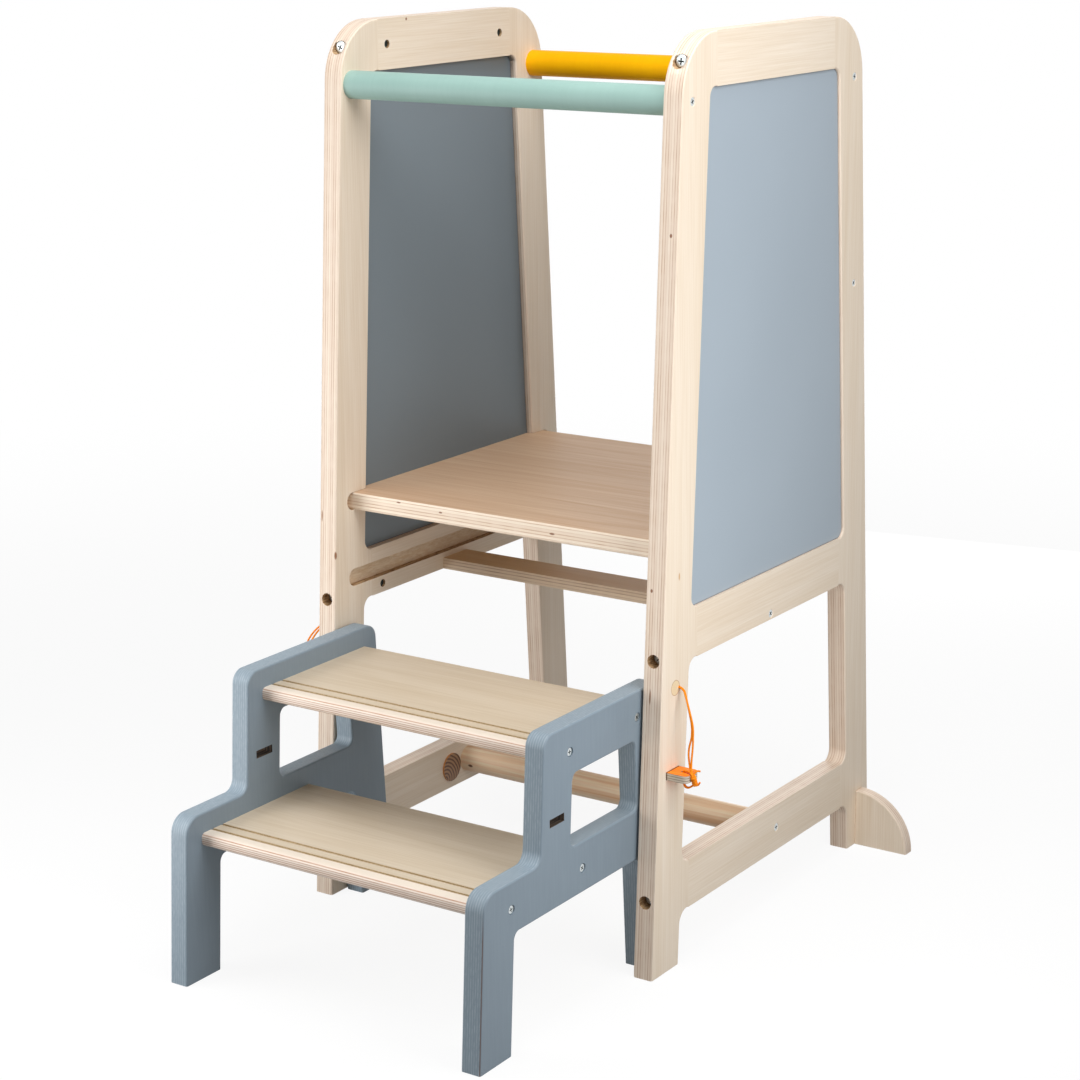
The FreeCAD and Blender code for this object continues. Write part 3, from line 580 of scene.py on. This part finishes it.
for side in ("left", "right"):
    for part in ("front_stile", "rear_stile", "top_rail", "middle_rail", "bottom_rail"):
        ply = stile_ply if part.endswith("stile") else rail_ply
        worked(f"{side}_{part}", f"{side}_{part}_wood", "tower", "frame_ply", ply, frame_rims, **cuts)


# Panels
# A thin board in each side frame, coated, let into a groove round the upper window. The outside is blue-grey, and
# the inside a darker slate grey, painted shade. The coating is rolled on, so it is even, with a very fine dimple.
panel_coat, tree = new_finish("rolled_panel_coating")
texture = add(tree, "TexCoord")
cloud = add(tree, "TexNoise", {"Vector": texture["Object"], "Scale": 5.0, "Detail": 2.0})[0]
dimple = add(tree, "TexNoise", {"Vector": texture["Object"], "Scale": 420.0, "Detail": 2.0})[0]
outside = add(tree, "Mix", {0: cloud, 6: colour("#a8b5c0"), 7: colour("#9facb7")}, data_type="RGBA")[2]
# The inside's darker grey is painted shade for the inside of the tower, which gets less light
shaded_inside = add(tree, "Mix", {0: cloud, 6: colour("#7a868e"), 7: colour("#717d85")}, data_type="RGBA")[2]
# Outwards is the way in which the normal and the place along X have one sign
spots = add(tree, "SeparateXYZ", {0: texture["Object"]})
facing = add(tree, "SeparateXYZ", {0: texture["Normal"]})
outwards = add(tree, "Math", {0: spots[0], 1: facing[0]}, operation="MULTIPLY")[0]
outwards = add(tree, "Math", {0: outwards, 1: 0.0}, operation="GREATER_THAN")[0]
tone = add(tree, "Mix", {0: outwards, 6: shaded_inside, 7: outside}, data_type="RGBA")[2]
# A fine dark line of painted shade where the board enters its groove, by the distance from the outline of the
# window, whose corners are round and whose sides lean with the stiles, from this half width at the floor
WINDOW_HALF_WIDTH = 0.179
WINDOW_MIDDLE = 0.6035
WINDOW_HALF_HEIGHT = 0.2455
WINDOW_RADIUS = 0.010
LEAN = 0.060556
sideways = add(tree, "Math", {0: spots[1], 1: TOWER_MIDDLE}, operation="SUBTRACT")[0]
sideways = add(tree, "Math", {0: sideways}, operation="ABSOLUTE")[0]
sideways = add(tree, "Math", {0: spots[2], 1: LEAN, 2: sideways}, operation="MULTIPLY_ADD")[0]
sideways = add(tree, "Math", {0: sideways, 1: WINDOW_HALF_WIDTH - WINDOW_RADIUS}, operation="SUBTRACT")[0]
upwards = add(tree, "Math", {0: spots[2], 1: WINDOW_MIDDLE}, operation="SUBTRACT")[0]
upwards = add(tree, "Math", {0: upwards}, operation="ABSOLUTE")[0]
upwards = add(tree, "Math", {0: upwards, 1: WINDOW_HALF_HEIGHT - WINDOW_RADIUS}, operation="SUBTRACT")[0]
corner = add(tree, "CombineXYZ", {0: sideways, 1: upwards})[0]
corner = add(tree, "VectorMath", {0: corner, 1: (0, 0, 0)}, operation="MAXIMUM")[0]
painted_rim_shade = add(tree, "VectorMath", {0: corner}, operation="LENGTH")["Value"]
painted_rim_shade = add(tree, "MapRange", {"Value": painted_rim_shade, 1: 0.0088, 2: 0.0098, 3: 0.0, 4: 0.8})[0]
# The painted shade line is weaker on the inside faces
inner_share = add(tree, "MapRange", {"Value": outwards, 3: 0.35, 4: 1.0})[0]
painted_rim_shade = add(tree, "Math", {0: painted_rim_shade, 1: inner_share}, operation="MULTIPLY")[0]
tone = add(tree, "Mix", {0: painted_rim_shade, 6: tone, 7: colour("#4a5056")}, data_type="RGBA")[2]
bump = add(tree, "Bump", {"Strength": 0.12, "Distance": 0.0002, "Height": dimple})[0]
surface = add(tree, "BsdfPrincipled", {"Base Color": tone, "Roughness": 0.46, "Normal": bump})
add(tree, "OutputMaterial", {"Surface": surface[0]})
for side in ("left", "right"):
    worked(f"{side}_panel", f"{side}_panel_board", "tower", "panel_paint", panel_coat)


# Platform and cross rail
# The standing board is 18 mm birch ply with a warmer face, its long edges eased, slid into grooves in the side
# frames. The cross rail under it is a narrow strip of thinner ply.
WARM_BIRCH = ("#dabb9c", "#c59d7b", "#faecd9", "#bd8f68")
GOLDEN_BIRCH = ("#efd2a8", "#debb8c", "#f3dec3", "#a97f5c")
knots = [
    ((-127.5, -175.7, 421.3), (3.2, 1.5, 1.0), DARK_KNOT),
    ((-75.0, -175.7, 417.8), (2.6, 1.5, 1.1), DARK_KNOT),
    ((59.5, -175.7, 414.5), (3.6, 1.5, 1.3), DARK_KNOT),
]
platform_ply = birch_ply("lacquered_warm_ply_platform", 2, 0, (0.406, 0.424), 6, WARM_BIRCH, figure=1.8, knots=knots)
cross_ply = birch_ply("lacquered_ply_cross_rail", 2, 0, (0.307, 0.319), 4, GOLDEN_BIRCH)
worked("platform", "platform_board", "tower", "board_ply", platform_ply)
worked("cross_rail", "cross_rail_strip", "tower", "board_ply", cross_ply)


# Grip bars, spreader and stubs
# Turned beech dowels of 28 mm. The front bar is painted mint and the rear one yellow, the lower spreader only
# lacquered. A thicker short dowel, sawn across its rings, is let into each bottom rail in front of the spreader.
def painted_dowel(name, light, dark, gloss):
    """Satin paint on a turned dowel, with faint rings left by the lathe."""
    material, tree = new_finish(name)
    place = add(tree, "TexCoord")["Object"]
    rings = add(tree, "Mapping", {"Vector": place, "Scale": (260.0, 9.0, 9.0)})[0]
    rings = add(tree, "TexNoise", {"Vector": rings, "Scale": 1.0, "Detail": 2.0})[0]
    cloud = add(tree, "TexNoise", {"Vector": place, "Scale": 18.0, "Detail": 2.0})[0]
    mottle = add(tree, "Mix", {0: 0.7, 2: rings, 3: cloud})[0]
    mottle = add(tree, "MapRange", {"Value": mottle, 1: 0.3, 2: 0.7})[0]
    tone = add(tree, "Mix", {0: mottle, 6: colour(light), 7: colour(dark)}, data_type="RGBA")[2]
    bump = add(tree, "Bump", {"Strength": 0.12, "Distance": 0.0002, "Height": rings})[0]
    sockets = {"Base Color": tone, "Roughness": 0.5, "Specular IOR Level": gloss, "Normal": bump}
    surface = add(tree, "BsdfPrincipled", sockets)
    add(tree, "OutputMaterial", {"Surface": surface[0]})
    return material


mint = painted_dowel("satin_mint_paint", "#9dbeb6", "#96b7af", 0.4)
yellow = painted_dowel("satin_yellow_paint", "#ffbe00", "#fab200", 0.1)

# Lacquered beech along its grain: fine flecks, a few long brown streaks and one knot near the left end
beech, tree = new_finish("lacquered_beech_dowel")
place = add(tree, "TexCoord")["Object"]
flecks = wood_fibres(tree, place, (14.0, 520.0, 520.0), 4.0, 0.4, 0.33, 0.67)
streaks = wood_fibres(tree, place, (3.0, 150.0, 150.0), 2.0, 0.8, 0.42, 0.7)
tone = add(tree, "Mix", {0: flecks, 6: colour("#fbe5c6"), 7: colour("#f4cfa8")}, data_type="RGBA")[2]
tone = add(tree, "Mix", {0: streaks, 6: tone, 7: colour("#e2b084")}, data_type="RGBA")[2]
tone = with_knot(tree, place, tone, (-172.5, 4.2, 75.0), (4.0, 3.0, 2.2), "#6e4528", 0.05, 0.5, 1.0)
surface = add(tree, "BsdfPrincipled", {"Base Color": tone, "Roughness": 0.48})
add(tree, "OutputMaterial", {"Surface": surface[0]})

# The stub's sawn end grain: growth rings about 4 mm apart, their middle low on its front side
stub_wood, tree = new_finish("sawn_end_grain_stub")
texture = add(tree, "TexCoord")
local = add(tree, "Mapping", {"Vector": texture["Object"], "Location": tower_point(0, -27, 65)}, vector_type="TEXTURE")
local = add(tree, "Mapping", {"Vector": local[0], "Scale": (0.0, 1.0, 1.0)})[0]
rings = {"Vector": local, "Scale": 78.0, "Distortion": 1.2, "Detail": 2.0, "Detail Scale": 1.5}
rings = add(tree, "TexWave", rings, wave_type="RINGS", rings_direction="SPHERICAL")["Fac"]
rings = add(tree, "MapRange", {"Value": rings, 1: 0.15, 2: 0.8})[0]
pores = add(tree, "TexNoise", {"Vector": texture["Object"], "Scale": 900.0, "Detail": 2.0})[0]
pores = add(tree, "Mix", {0: 0.25, 2: rings, 3: pores})[0]
end_tone = add(tree, "Mix", {0: pores, 6: colour("#4e3426"), 7: colour("#b38c6c")}, data_type="RGBA")[2]
side_on = add(tree, "SeparateXYZ", {0: texture["Normal"]})[0]
side_on = add(tree, "Math", {0: side_on}, operation="ABSOLUTE")[0]
side_on = add(tree, "Math", {0: side_on, 1: 0.7}, operation="GREATER_THAN")[0]
tone = add(tree, "Mix", {0: side_on, 6: colour("#c5854a"), 7: end_tone}, data_type="RGBA")[2]
surface = add(tree, "BsdfPrincipled", {"Base Color": tone, "Roughness": 0.6})
add(tree, "OutputMaterial", {"Surface": surface[0]})

worked("front_grip_bar", "mint_grip_bar", "tower", "mint_paint", mint)
worked("rear_grip_bar", "yellow_grip_bar", "tower", "yellow_paint", yellow)
worked("lower_spreader", "beech_spreader", "tower", "beech_dowel", beech)
for side in ("left", "right"):
    worked(f"{side}_spare_stub", f"{side}_rail_stub", "tower", "beech_dowel", stub_wood)


# Stabilisers
# Quarter rounds of 15 mm birch ply that stand out from the rear feet, so that the tower can't tip sideways. Each is
# screwed on from the inside and lacquered like the frames.
FIN_FACES = (0.32375, 0.33875)


def fin_rims(a, b):
    """True for an edge whose ends lie on a stabiliser's faces, but not on the floor."""
    return all(any(abs(p.y - face) < NEAR for face in FIN_FACES) for p in (a, b)) and (a + b).z > 0.001


fin_ply = birch_ply("lacquered_birch_ply_stabilisers", 1, 2, FIN_FACES, 5, BIRCH)
for side in ("left", "right"):
    worked(f"{side}_stabiliser", f"{side}_stabiliser_fin", "tower", "frame_ply", fin_ply, fin_rims)


# Keys and plugs
# The keys are tongues of thin ply, stained orange on both faces and bare at the edges. The plugs are short
# light dowels that wedge the cords, with a thin ring of painted shade round the rim.
KEY_FACES = (0.1983, 0.2057)
key_ply, tree = new_finish("orange_stained_key_ply")
texture = add(tree, "TexCoord")
spots = add(tree, "SeparateXYZ", {0: texture["Object"]})
layer = {"Value": spots[2], 1: KEY_FACES[0], 2: KEY_FACES[1], 3: 0.0, 4: 3.0}
layer = add(tree, "MapRange", layer, clamp=False)[0]
layer = add(tree, "Math", {0: layer, 1: 0.5}, operation="PINGPONG")[0]
layer = add(tree, "MapRange", {"Value": layer, 1: 0.08, 2: 0.2, 3: 1.0, 4: 0.0})[0]
edge_tone = add(tree, "Mix", {0: layer, 6: colour("#cfc3b2"), 7: colour("#8f7f6c")}, data_type="RGBA")[2]
grain = wood_fibres(tree, texture["Object"], (60.0, 500.0, 500.0), 3.0, 0.0, 0.35, 0.65)
stain = add(tree, "Mix", {0: grain, 6: colour("#ff9220"), 7: colour("#f07c14")}, data_type="RGBA")[2]
up = add(tree, "SeparateXYZ", {0: texture["Normal"]})[2]
up = add(tree, "Math", {0: up}, operation="ABSOLUTE")[0]
up = add(tree, "MapRange", {"Value": up, 1: 0.4, 2: 0.6})[0]
tone = add(tree, "Mix", {0: up, 6: edge_tone, 7: stain}, data_type="RGBA")[2]
# A dark line of painted shade just outside the stile's face, where the key meets it
stile_shade = add(tree, "Math", {0: spots[0]}, operation="ABSOLUTE")[0]
stile_shade = add(tree, "Math", {0: stile_shade, 1: FRAME_FACES[1] + 0.0006}, operation="SUBTRACT")[0]
stile_shade = add(tree, "Math", {0: stile_shade}, operation="ABSOLUTE")[0]
stile_shade = add(tree, "MapRange", {"Value": stile_shade, 1: 0.0004, 2: 0.001, 3: 0.75, 4: 0.0})[0]
tone = add(tree, "Mix", {0: stile_shade, 6: tone, 7: colour("#5f3a1c")}, data_type="RGBA")[2]
bump = add(tree, "Bump", {"Strength": 0.2, "Distance": 0.0002, "Height": grain})[0]
sockets = {"Base Color": tone, "Roughness": 0.6, "Specular IOR Level": 0.3, "Normal": bump}
surface = add(tree, "BsdfPrincipled", sockets)
add(tree, "OutputMaterial", {"Surface": surface[0]})

PLUG_AXIS = tower_point(0, -CORD_PLUG[0], CORD_PLUG[1])
plug_wood, tree = new_finish("light_plug_wood")
place = add(tree, "TexCoord")["Object"]
speckle = add(tree, "TexNoise", {"Vector": place, "Scale": 700.0, "Detail": 3.0})[0]
tone = add(tree, "Mix", {0: speckle, 6: colour("#f3e0bc"), 7: colour("#e0c79c")}, data_type="RGBA")[2]
flat = add(tree, "Mapping", {"Vector": place, "Scale": (0.0, 1.0, 1.0)})[0]
# A thin dark ring of painted shade round the plug's rim, where it meets its hole
painted_rim_shade = add(tree, "VectorMath", {0: flat, 1: PLUG_AXIS}, operation="DISTANCE")["Value"]
painted_rim_shade = add(tree, "MapRange", {"Value": painted_rim_shade, 1: 0.0066, 2: 0.0077, 3: 0.0, 4: 0.8})[0]
tone = add(tree, "Mix", {0: painted_rim_shade, 6: tone, 7: colour("#a27b4e")}, data_type="RGBA")[2]
surface = add(tree, "BsdfPrincipled", {"Base Color": tone, "Roughness": 0.6})
add(tree, "OutputMaterial", {"Surface": surface[0]})
for side in ("left", "right"):
    worked(f"{side}_key", f"{side}_key_tongue", f"{side}_key", "key_ply", key_ply)
    worked(f"{side}_cord_plug", f"{side}_plug", "tower", "plug_wood", plug_wood)


# Screws, bolts and barrel nuts
# Zinc-plated steel: pan-head bolts in counterbores in the stiles' edges, countersunk wood screws a little below
# the face, all with a cross recess, and the bolts' barrel nuts deep in the rails.
zinc, tree = new_finish("zinc_plated_steel")
place = add(tree, "TexCoord")["Object"]
bloom = add(tree, "TexNoise", {"Vector": place, "Scale": 300.0, "Detail": 3.0})[0]
tone = add(tree, "Mix", {0: bloom, 6: colour("#e4e9e9"), 7: colour("#c3cbcc")}, data_type="RGBA")[2]
rough = add(tree, "MapRange", {"Value": bloom, 3: 0.34, 4: 0.5})[0]
surface = add(tree, "BsdfPrincipled", {"Base Color": tone, "Metallic": 0.85, "Roughness": rough})
add(tree, "OutputMaterial", {"Surface": surface[0]})

# The punched recess and the barrel nuts deep in their bores take a duller zinc, darkened as painted shade
shaded_zinc, tree = new_finish("zinc_darkened_as_painted_shade")
place = add(tree, "TexCoord")["Object"]
recess_shade_mottle = add(tree, "TexNoise", {"Vector": place, "Scale": 600.0, "Detail": 3.0})[0]
tone = add(tree, "Mix", {0: recess_shade_mottle, 6: colour("#39423f"), 7: colour("#1c2221")}, data_type="RGBA")[2]
surface = add(tree, "BsdfPrincipled", {"Base Color": tone, "Metallic": 0.5, "Roughness": 0.6})
add(tree, "OutputMaterial", {"Surface": surface[0]})


def chosen(piece, kind, test):
    """Goes into edit mode with just the faces or edges selected whose corners all pass the test."""
    bpy.ops.object.mode_set(mode="EDIT")
    bpy.ops.mesh.select_mode(type=kind)
    bpy.ops.mesh.select_all(action="DESELECT")
    bpy.ops.object.mode_set(mode="OBJECT")
    mesh = piece.data
    for part in mesh.polygons if kind == "FACE" else mesh.edges:
        part.select = all(test(mesh.vertices[n].co) for n in part.vertices)
    bpy.ops.object.mode_set(mode="EDIT")


def steel_head(radius, height, neck, arm, pan):
    """A pan or countersunk head with a cross recess, its top at the origin, with the start of its shank."""
    select_only()
    foot = radius if pan else neck
    bpy.ops.mesh.primitive_cone_add(
        vertices=32, radius1=foot, radius2=radius, depth=height, location=(0, 0, -height / 2)
    )
    head = bpy.context.object
    bpy.ops.object.transform_apply(location=True)
    chosen(head, "EDGE", lambda co: co.z > -0.00001)
    bpy.ops.mesh.bevel(offset=radius * (0.28 if pan else 0.06), segments=4 if pan else 2)
    chosen(head, "FACE", lambda co: co.z < 0.00001 - height)
    if pan:
        bpy.ops.mesh.inset(thickness=radius - neck)
    bpy.ops.mesh.extrude_region_move(TRANSFORM_OT_translate={"value": (0, 0, -0.002)})
    bpy.ops.object.mode_set(mode="OBJECT")
    depth = arm * 0.5
    for turned in (0, math.pi / 2):
        bpy.ops.mesh.primitive_cube_add(
            size=1, location=(0, 0, 0.0001 - depth / 2), rotation=(0, 0, turned), scale=(2 * arm, 0.45 * arm, depth)
        )
        punch = bpy.context.object
        select_only(head)
        hollow = head.modifiers.new("cross_recess", "BOOLEAN")
        hollow.operation = "DIFFERENCE"
        hollow.solver = "EXACT"
        hollow.object = punch
        bpy.ops.object.modifier_apply(modifier=hollow.name)
        bpy.data.objects.remove(punch)
    bpy.ops.object.shade_smooth_by_angle(angle=math.radians(30))
    head.data.materials.append(zinc)
    head.data.materials.append(shaded_zinc)
    # The recess's faces take the darker zinc of painted shade
    for polygon in head.data.polygons:
        middle = polygon.center
        if math.hypot(middle.x, middle.y) < 1.05 * arm and -1.2 * depth < middle.z < -0.00005:
            polygon.material_index = 1
    mesh = head.data.copy()
    bpy.data.objects.remove(head)
    return mesh


SHANK_START = 0.0035


def fasteners(node, body, head, neck, places):
    """Copies of one head with shanks: each one's place in mm, outward direction, turn in radians and length in mm."""
    pieces = []
    for place, outwards, turned, length in places:
        outwards = Vector(outwards)
        top = tower_point(*place)
        facing = outwards.to_track_quat("Z", "Y").to_matrix().to_4x4()
        piece = bpy.data.objects.new(f"{node}_head", head.copy())
        bpy.context.scene.collection.objects.link(piece)
        piece.matrix_world = Matrix.Translation(top) @ facing @ Matrix.Rotation(turned, 4, "Z")
        start, end = top - outwards * SHANK_START, top - outwards * (length * 0.001)
        bpy.ops.mesh.primitive_cylinder_add(vertices=12, radius=neck, depth=(end - start).length)
        shank = bpy.context.object
        shank.matrix_world = Matrix.Translation((start + end) / 2) @ facing
        shank.data.materials.append(zinc)
        pieces += [piece, shank]
    select_only(*pieces)
    bpy.ops.object.join()
    bpy.ops.object.transform_apply(location=True, rotation=True, scale=True)
    joined = bpy.context.object
    joined.name = node + "_steel"
    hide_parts(node)
    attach(joined, body)


bolt_head = steel_head(0.0062, 0.0036, 0.003, 0.0031, True)
big_screw = steel_head(0.0041, 0.0024, 0.0021, 0.0024, False)
small_screw = steel_head(0.0039, 0.0021, 0.0019, 0.0022, False)
# In millimetres: each bolt's height, the distance of its head's top from the mid-plane and its length, then the
# screws' places on the frames and the stool and heights on the stabilisers, how far out the tops of their heads
# are, and their lengths
BOLTS = tuple(zip(BOLT_HEIGHTS, (164.2, 199.4, 213.9), (69.5, 77.0, 77.5)))
BAR_SCREWS = ((-GRIP_BAR[0], GRIP_BAR[1]), GRIP_BAR, CROSS_RAIL_SCREW, (18, 78))
TREAD_SCREWS = ((-430, 141), (-313.5, 141), (-333.5, 261), (-217, 261))
FIN_SCREWS = (16, 40)
FRAME_HEADS = 206.5
FOOT_HEADS = 186.2
TREAD_HEADS = 182.6
BIG_LENGTH = 59
SMALL_LENGTH = 44
ACCESSORY_LENGTH = 15
bolts, bars, feet, treads = [], [], [], []
for mirror in (-1, 1):
    for end in (-1, 1):
        for n, (z, depth, length) in enumerate(BOLTS):
            bolts.append(((mirror * PLY_MIDDLE, end * depth, z), (0, end, 0), 0.5 + 0.8 * n + mirror, length))
    for n, (y, z) in enumerate(BAR_SCREWS):
        bars.append(((mirror * FRAME_HEADS, y, z), (mirror, 0, 0), 0.4 + 0.9 * n, BIG_LENGTH))
    for n, z in enumerate(FIN_SCREWS):
        feet.append(((mirror * FOOT_HEADS, FIN_MIDDLE, z), (-mirror, 0, 0), 0.3 + n, SMALL_LENGTH))
    for n, (y, z) in enumerate(TREAD_SCREWS):
        treads.append(((mirror * TREAD_HEADS, y, z), (mirror, 0, 0), 0.2 + 0.7 * n, SMALL_LENGTH))
accessory = [((FRAME_HEADS, *ACCESSORY_SCREW), (1, 0, 0), 0.7, ACCESSORY_LENGTH)]
fasteners("frame_bolts", "tower", bolt_head, 0.003, bolts)
fasteners("bar_screws", "tower", big_screw, 0.0021, bars)
fasteners("stabiliser_screws", "tower", small_screw, 0.0019, feet)
fasteners("step_screws", "step_stool", small_screw, 0.0019, treads)
fasteners("accessory_screw", "tower", small_screw, 0.0017, accessory)
# The barrel nuts take the darker zinc too, as painted shade deep in their bores
worked("barrel_nuts", "barrel_nuts_steel", "tower", "zinc_plated_steel", shaded_zinc)


# Step stool
# Two ply sides painted blue-grey, cut with the legs, riser and window, and two steps of bare lacquered ply
# screwed between them. The paint is thin on the edges, where the veneers show through as pale speckled rows.
STOOL_FACES = (0.1625, 0.1835)
stool_paint, tree = new_finish("satin_blue_grey_paint_on_ply")
texture = add(tree, "TexCoord")
place = texture["Object"]
brushed = add(tree, "Mapping", {"Vector": place, "Scale": (350.0, 350.0, 25.0)})[0]
brushed = add(tree, "TexNoise", {"Vector": brushed, "Scale": 1.0, "Detail": 3.0})[0]
cloud = add(tree, "TexNoise", {"Vector": place, "Scale": 11.0, "Detail": 3.0})[0]
mottle = add(tree, "Mix", {0: 0.6, 2: brushed, 3: cloud})[0]
mottle = add(tree, "MapRange", {"Value": mottle, 1: 0.3, 2: 0.7})[0]
face_tone = add(tree, "Mix", {0: mottle, 6: colour("#8695a1"), 7: colour("#7d8c98")}, data_type="RGBA")[2]
spots = add(tree, "SeparateXYZ", {0: place})
row = add(tree, "Math", {0: spots[0]}, operation="ABSOLUTE")[0]
row = add(tree, "MapRange", {"Value": row, 1: STOOL_FACES[0], 2: STOOL_FACES[1], 3: 0.2, 4: 8.2}, clamp=False)[0]
row = add(tree, "Math", {0: row, 1: 0.5}, operation="PINGPONG")[0]
row = add(tree, "MapRange", {"Value": row, 1: 0.12, 2: 0.38})[0]
speck = wood_fibres(tree, place, (900.0, 160.0, 160.0), 3.0, 0.0, 0.3, 0.65)
speck = add(tree, "Math", {0: speck, 1: row}, operation="MULTIPLY")[0]
edge_tone = add(tree, "Mix", {0: speck, 6: colour("#8595a1"), 7: colour("#a0aeb8")}, data_type="RGBA")[2]
faces = add(tree, "SeparateXYZ", {0: texture["Normal"]})
side_on = add(tree, "Math", {0: faces[0]}, operation="ABSOLUTE")[0]
side_on = add(tree, "MapRange", {"Value": side_on, 1: 0.3, 2: 0.6})[0]
tone = add(tree, "Mix", {0: side_on, 6: edge_tone, 7: face_tone}, data_type="RGBA")[2]
# The paint is rubbed through to the brown veneer along the front corner of the right side's leg
worn = add(tree, "MapRange", {"Value": faces[1], 1: -0.8, 2: -0.45, 3: 1.0, 4: 0.0})[0]
rightwards = add(tree, "MapRange", {"Value": faces[0], 1: 0.25, 2: 0.5})[0]
worn = add(tree, "Math", {0: worn, 1: rightwards}, operation="MULTIPLY")[0]
low_down = add(tree, "MapRange", {"Value": spots[2], 1: 0.125, 2: 0.15, 3: 0.9, 4: 0.0})[0]
worn = add(tree, "Math", {0: worn, 1: low_down}, operation="MULTIPLY")[0]
right_half = add(tree, "Math", {0: spots[0], 1: 0.17}, operation="GREATER_THAN")[0]
worn = add(tree, "Math", {0: worn, 1: right_half}, operation="MULTIPLY")[0]
tone = add(tree, "Mix", {0: worn, 6: tone, 7: colour("#6a4f42")}, data_type="RGBA")[2]
bump = add(tree, "Bump", {"Strength": 0.15, "Distance": 0.0002, "Height": brushed})[0]
surface = add(tree, "BsdfPrincipled", {"Base Color": tone, "Roughness": 0.5, "Normal": bump})
add(tree, "OutputMaterial", {"Surface": surface[0]})

# The slots for the keys: raw ply, darkened as painted shade in the narrow slots, its veneers as fine stripes
shaded_slot_ply, tree = new_finish("ply_with_painted_shade_in_the_key_slots")
place = add(tree, "TexCoord")["Object"]
layers = wood_fibres(tree, place, (700.0, 30.0, 30.0), 2.0, 0.0, 0.35, 0.65)
tone = add(tree, "Mix", {0: layers, 6: colour("#2c2521"), 7: colour("#6d5a48")}, data_type="RGBA")[2]
surface = add(tree, "BsdfPrincipled", {"Base Color": tone, "Roughness": 0.8})
add(tree, "OutputMaterial", {"Surface": surface[0]})


# The slots' places along Y in millimetres about the tower's mid-plane, the riser's and the rear leg's
STOOL_SLOTS = (-356.25, -191.75)


def stool_rims(a, b):
    """True for an edge on the outline or the window of a stool side's face."""
    if not any(all(abs(abs(p.x) - x) < NEAR for p in (a, b)) for x in STOOL_FACES):
        return False
    middle = (a + b) * 500
    depth = middle.y - TOWER_MIDDLE * 1000
    if any(abs(depth - y) < 13 and abs(middle.z - KEY_SLOT[1]) < 5 for y in STOOL_SLOTS):
        return False
    return middle.z > 0.5 and not any(abs(depth - y) < 6 and abs(middle.z - z) < 6 for y, z in TREAD_SCREWS)


def stool_cuts(centre, normal):
    """1 on the walls of a stool side's key slots, which the paint doesn't reach."""
    depth, height = (centre.y - TOWER_MIDDLE) * 1000, centre.z * 1000
    in_slot = any(abs(depth - y) < 12.3 for y in STOOL_SLOTS) and abs(height - KEY_SLOT[1]) < 4.3
    return 1 if in_slot and abs(normal.x) < 0.3 else 0


for side in ("left", "right"):
    worked(
        f"stool_{side}_side",
        f"stool_{side}_board",
        "step_stool",
        "stool_paint",
        stool_paint,
        stool_rims,
        round_over=0.0019,
        cut=stool_cuts,
        cut_materials=(shaded_slot_ply,),
    )

# The steps' front edges in millimetres about the tower's mid-plane, and their tops. The nose in front of the
# first groove is sanded paler, and the two grooves are routed after the lacquer.
tread_groove_birch = cut_wood("birch_in_the_tread_grooves", "#d3be99", "#b9a078")
STEP_BIRCH = ("#d9cbb6", "#c8b69c", "#fff3e6", "#b58463")
STEP_THICKNESS = 0.013
GROOVE_INSETS = (15.5, 30.0)
LAND_WIDTH = 13.6
for which, front, top in (("lower", -452.5, 147.5), ("upper", -356.0, 267.5)):
    step_ply = birch_ply(
        f"lacquered_birch_ply_{which}_step",
        2,
        0,
        (top * 0.001 - STEP_THICKNESS, top * 0.001),
        7,
        STEP_BIRCH,
        faintest=0.75,
        turned=0.3,
        land=(front + LAND_WIDTH) * 0.001 + TOWER_MIDDLE,
        grooves=[(front + inset) * 0.001 + TOWER_MIDDLE for inset in GROOVE_INSETS],
    )

    def tread_grooves(centre, normal, front=front, top=top):
        """1 on the walls and floors of a step's grooves."""
        back, sunk = (centre.y - TOWER_MIDDLE) * 1000 - front, top - centre.z * 1000
        in_groove = any(abs(back - inset) < 1.4 for inset in GROOVE_INSETS)
        return 1 if in_groove and 0.1 < sunk < 1.8 and abs(normal.x) < 0.5 else 0

    worked(
        f"{which}_step",
        f"{which}_step_board",
        "step_stool",
        "board_ply",
        step_ply,
        cut=tread_grooves,
        cut_materials=(tread_groove_birch,),
    )
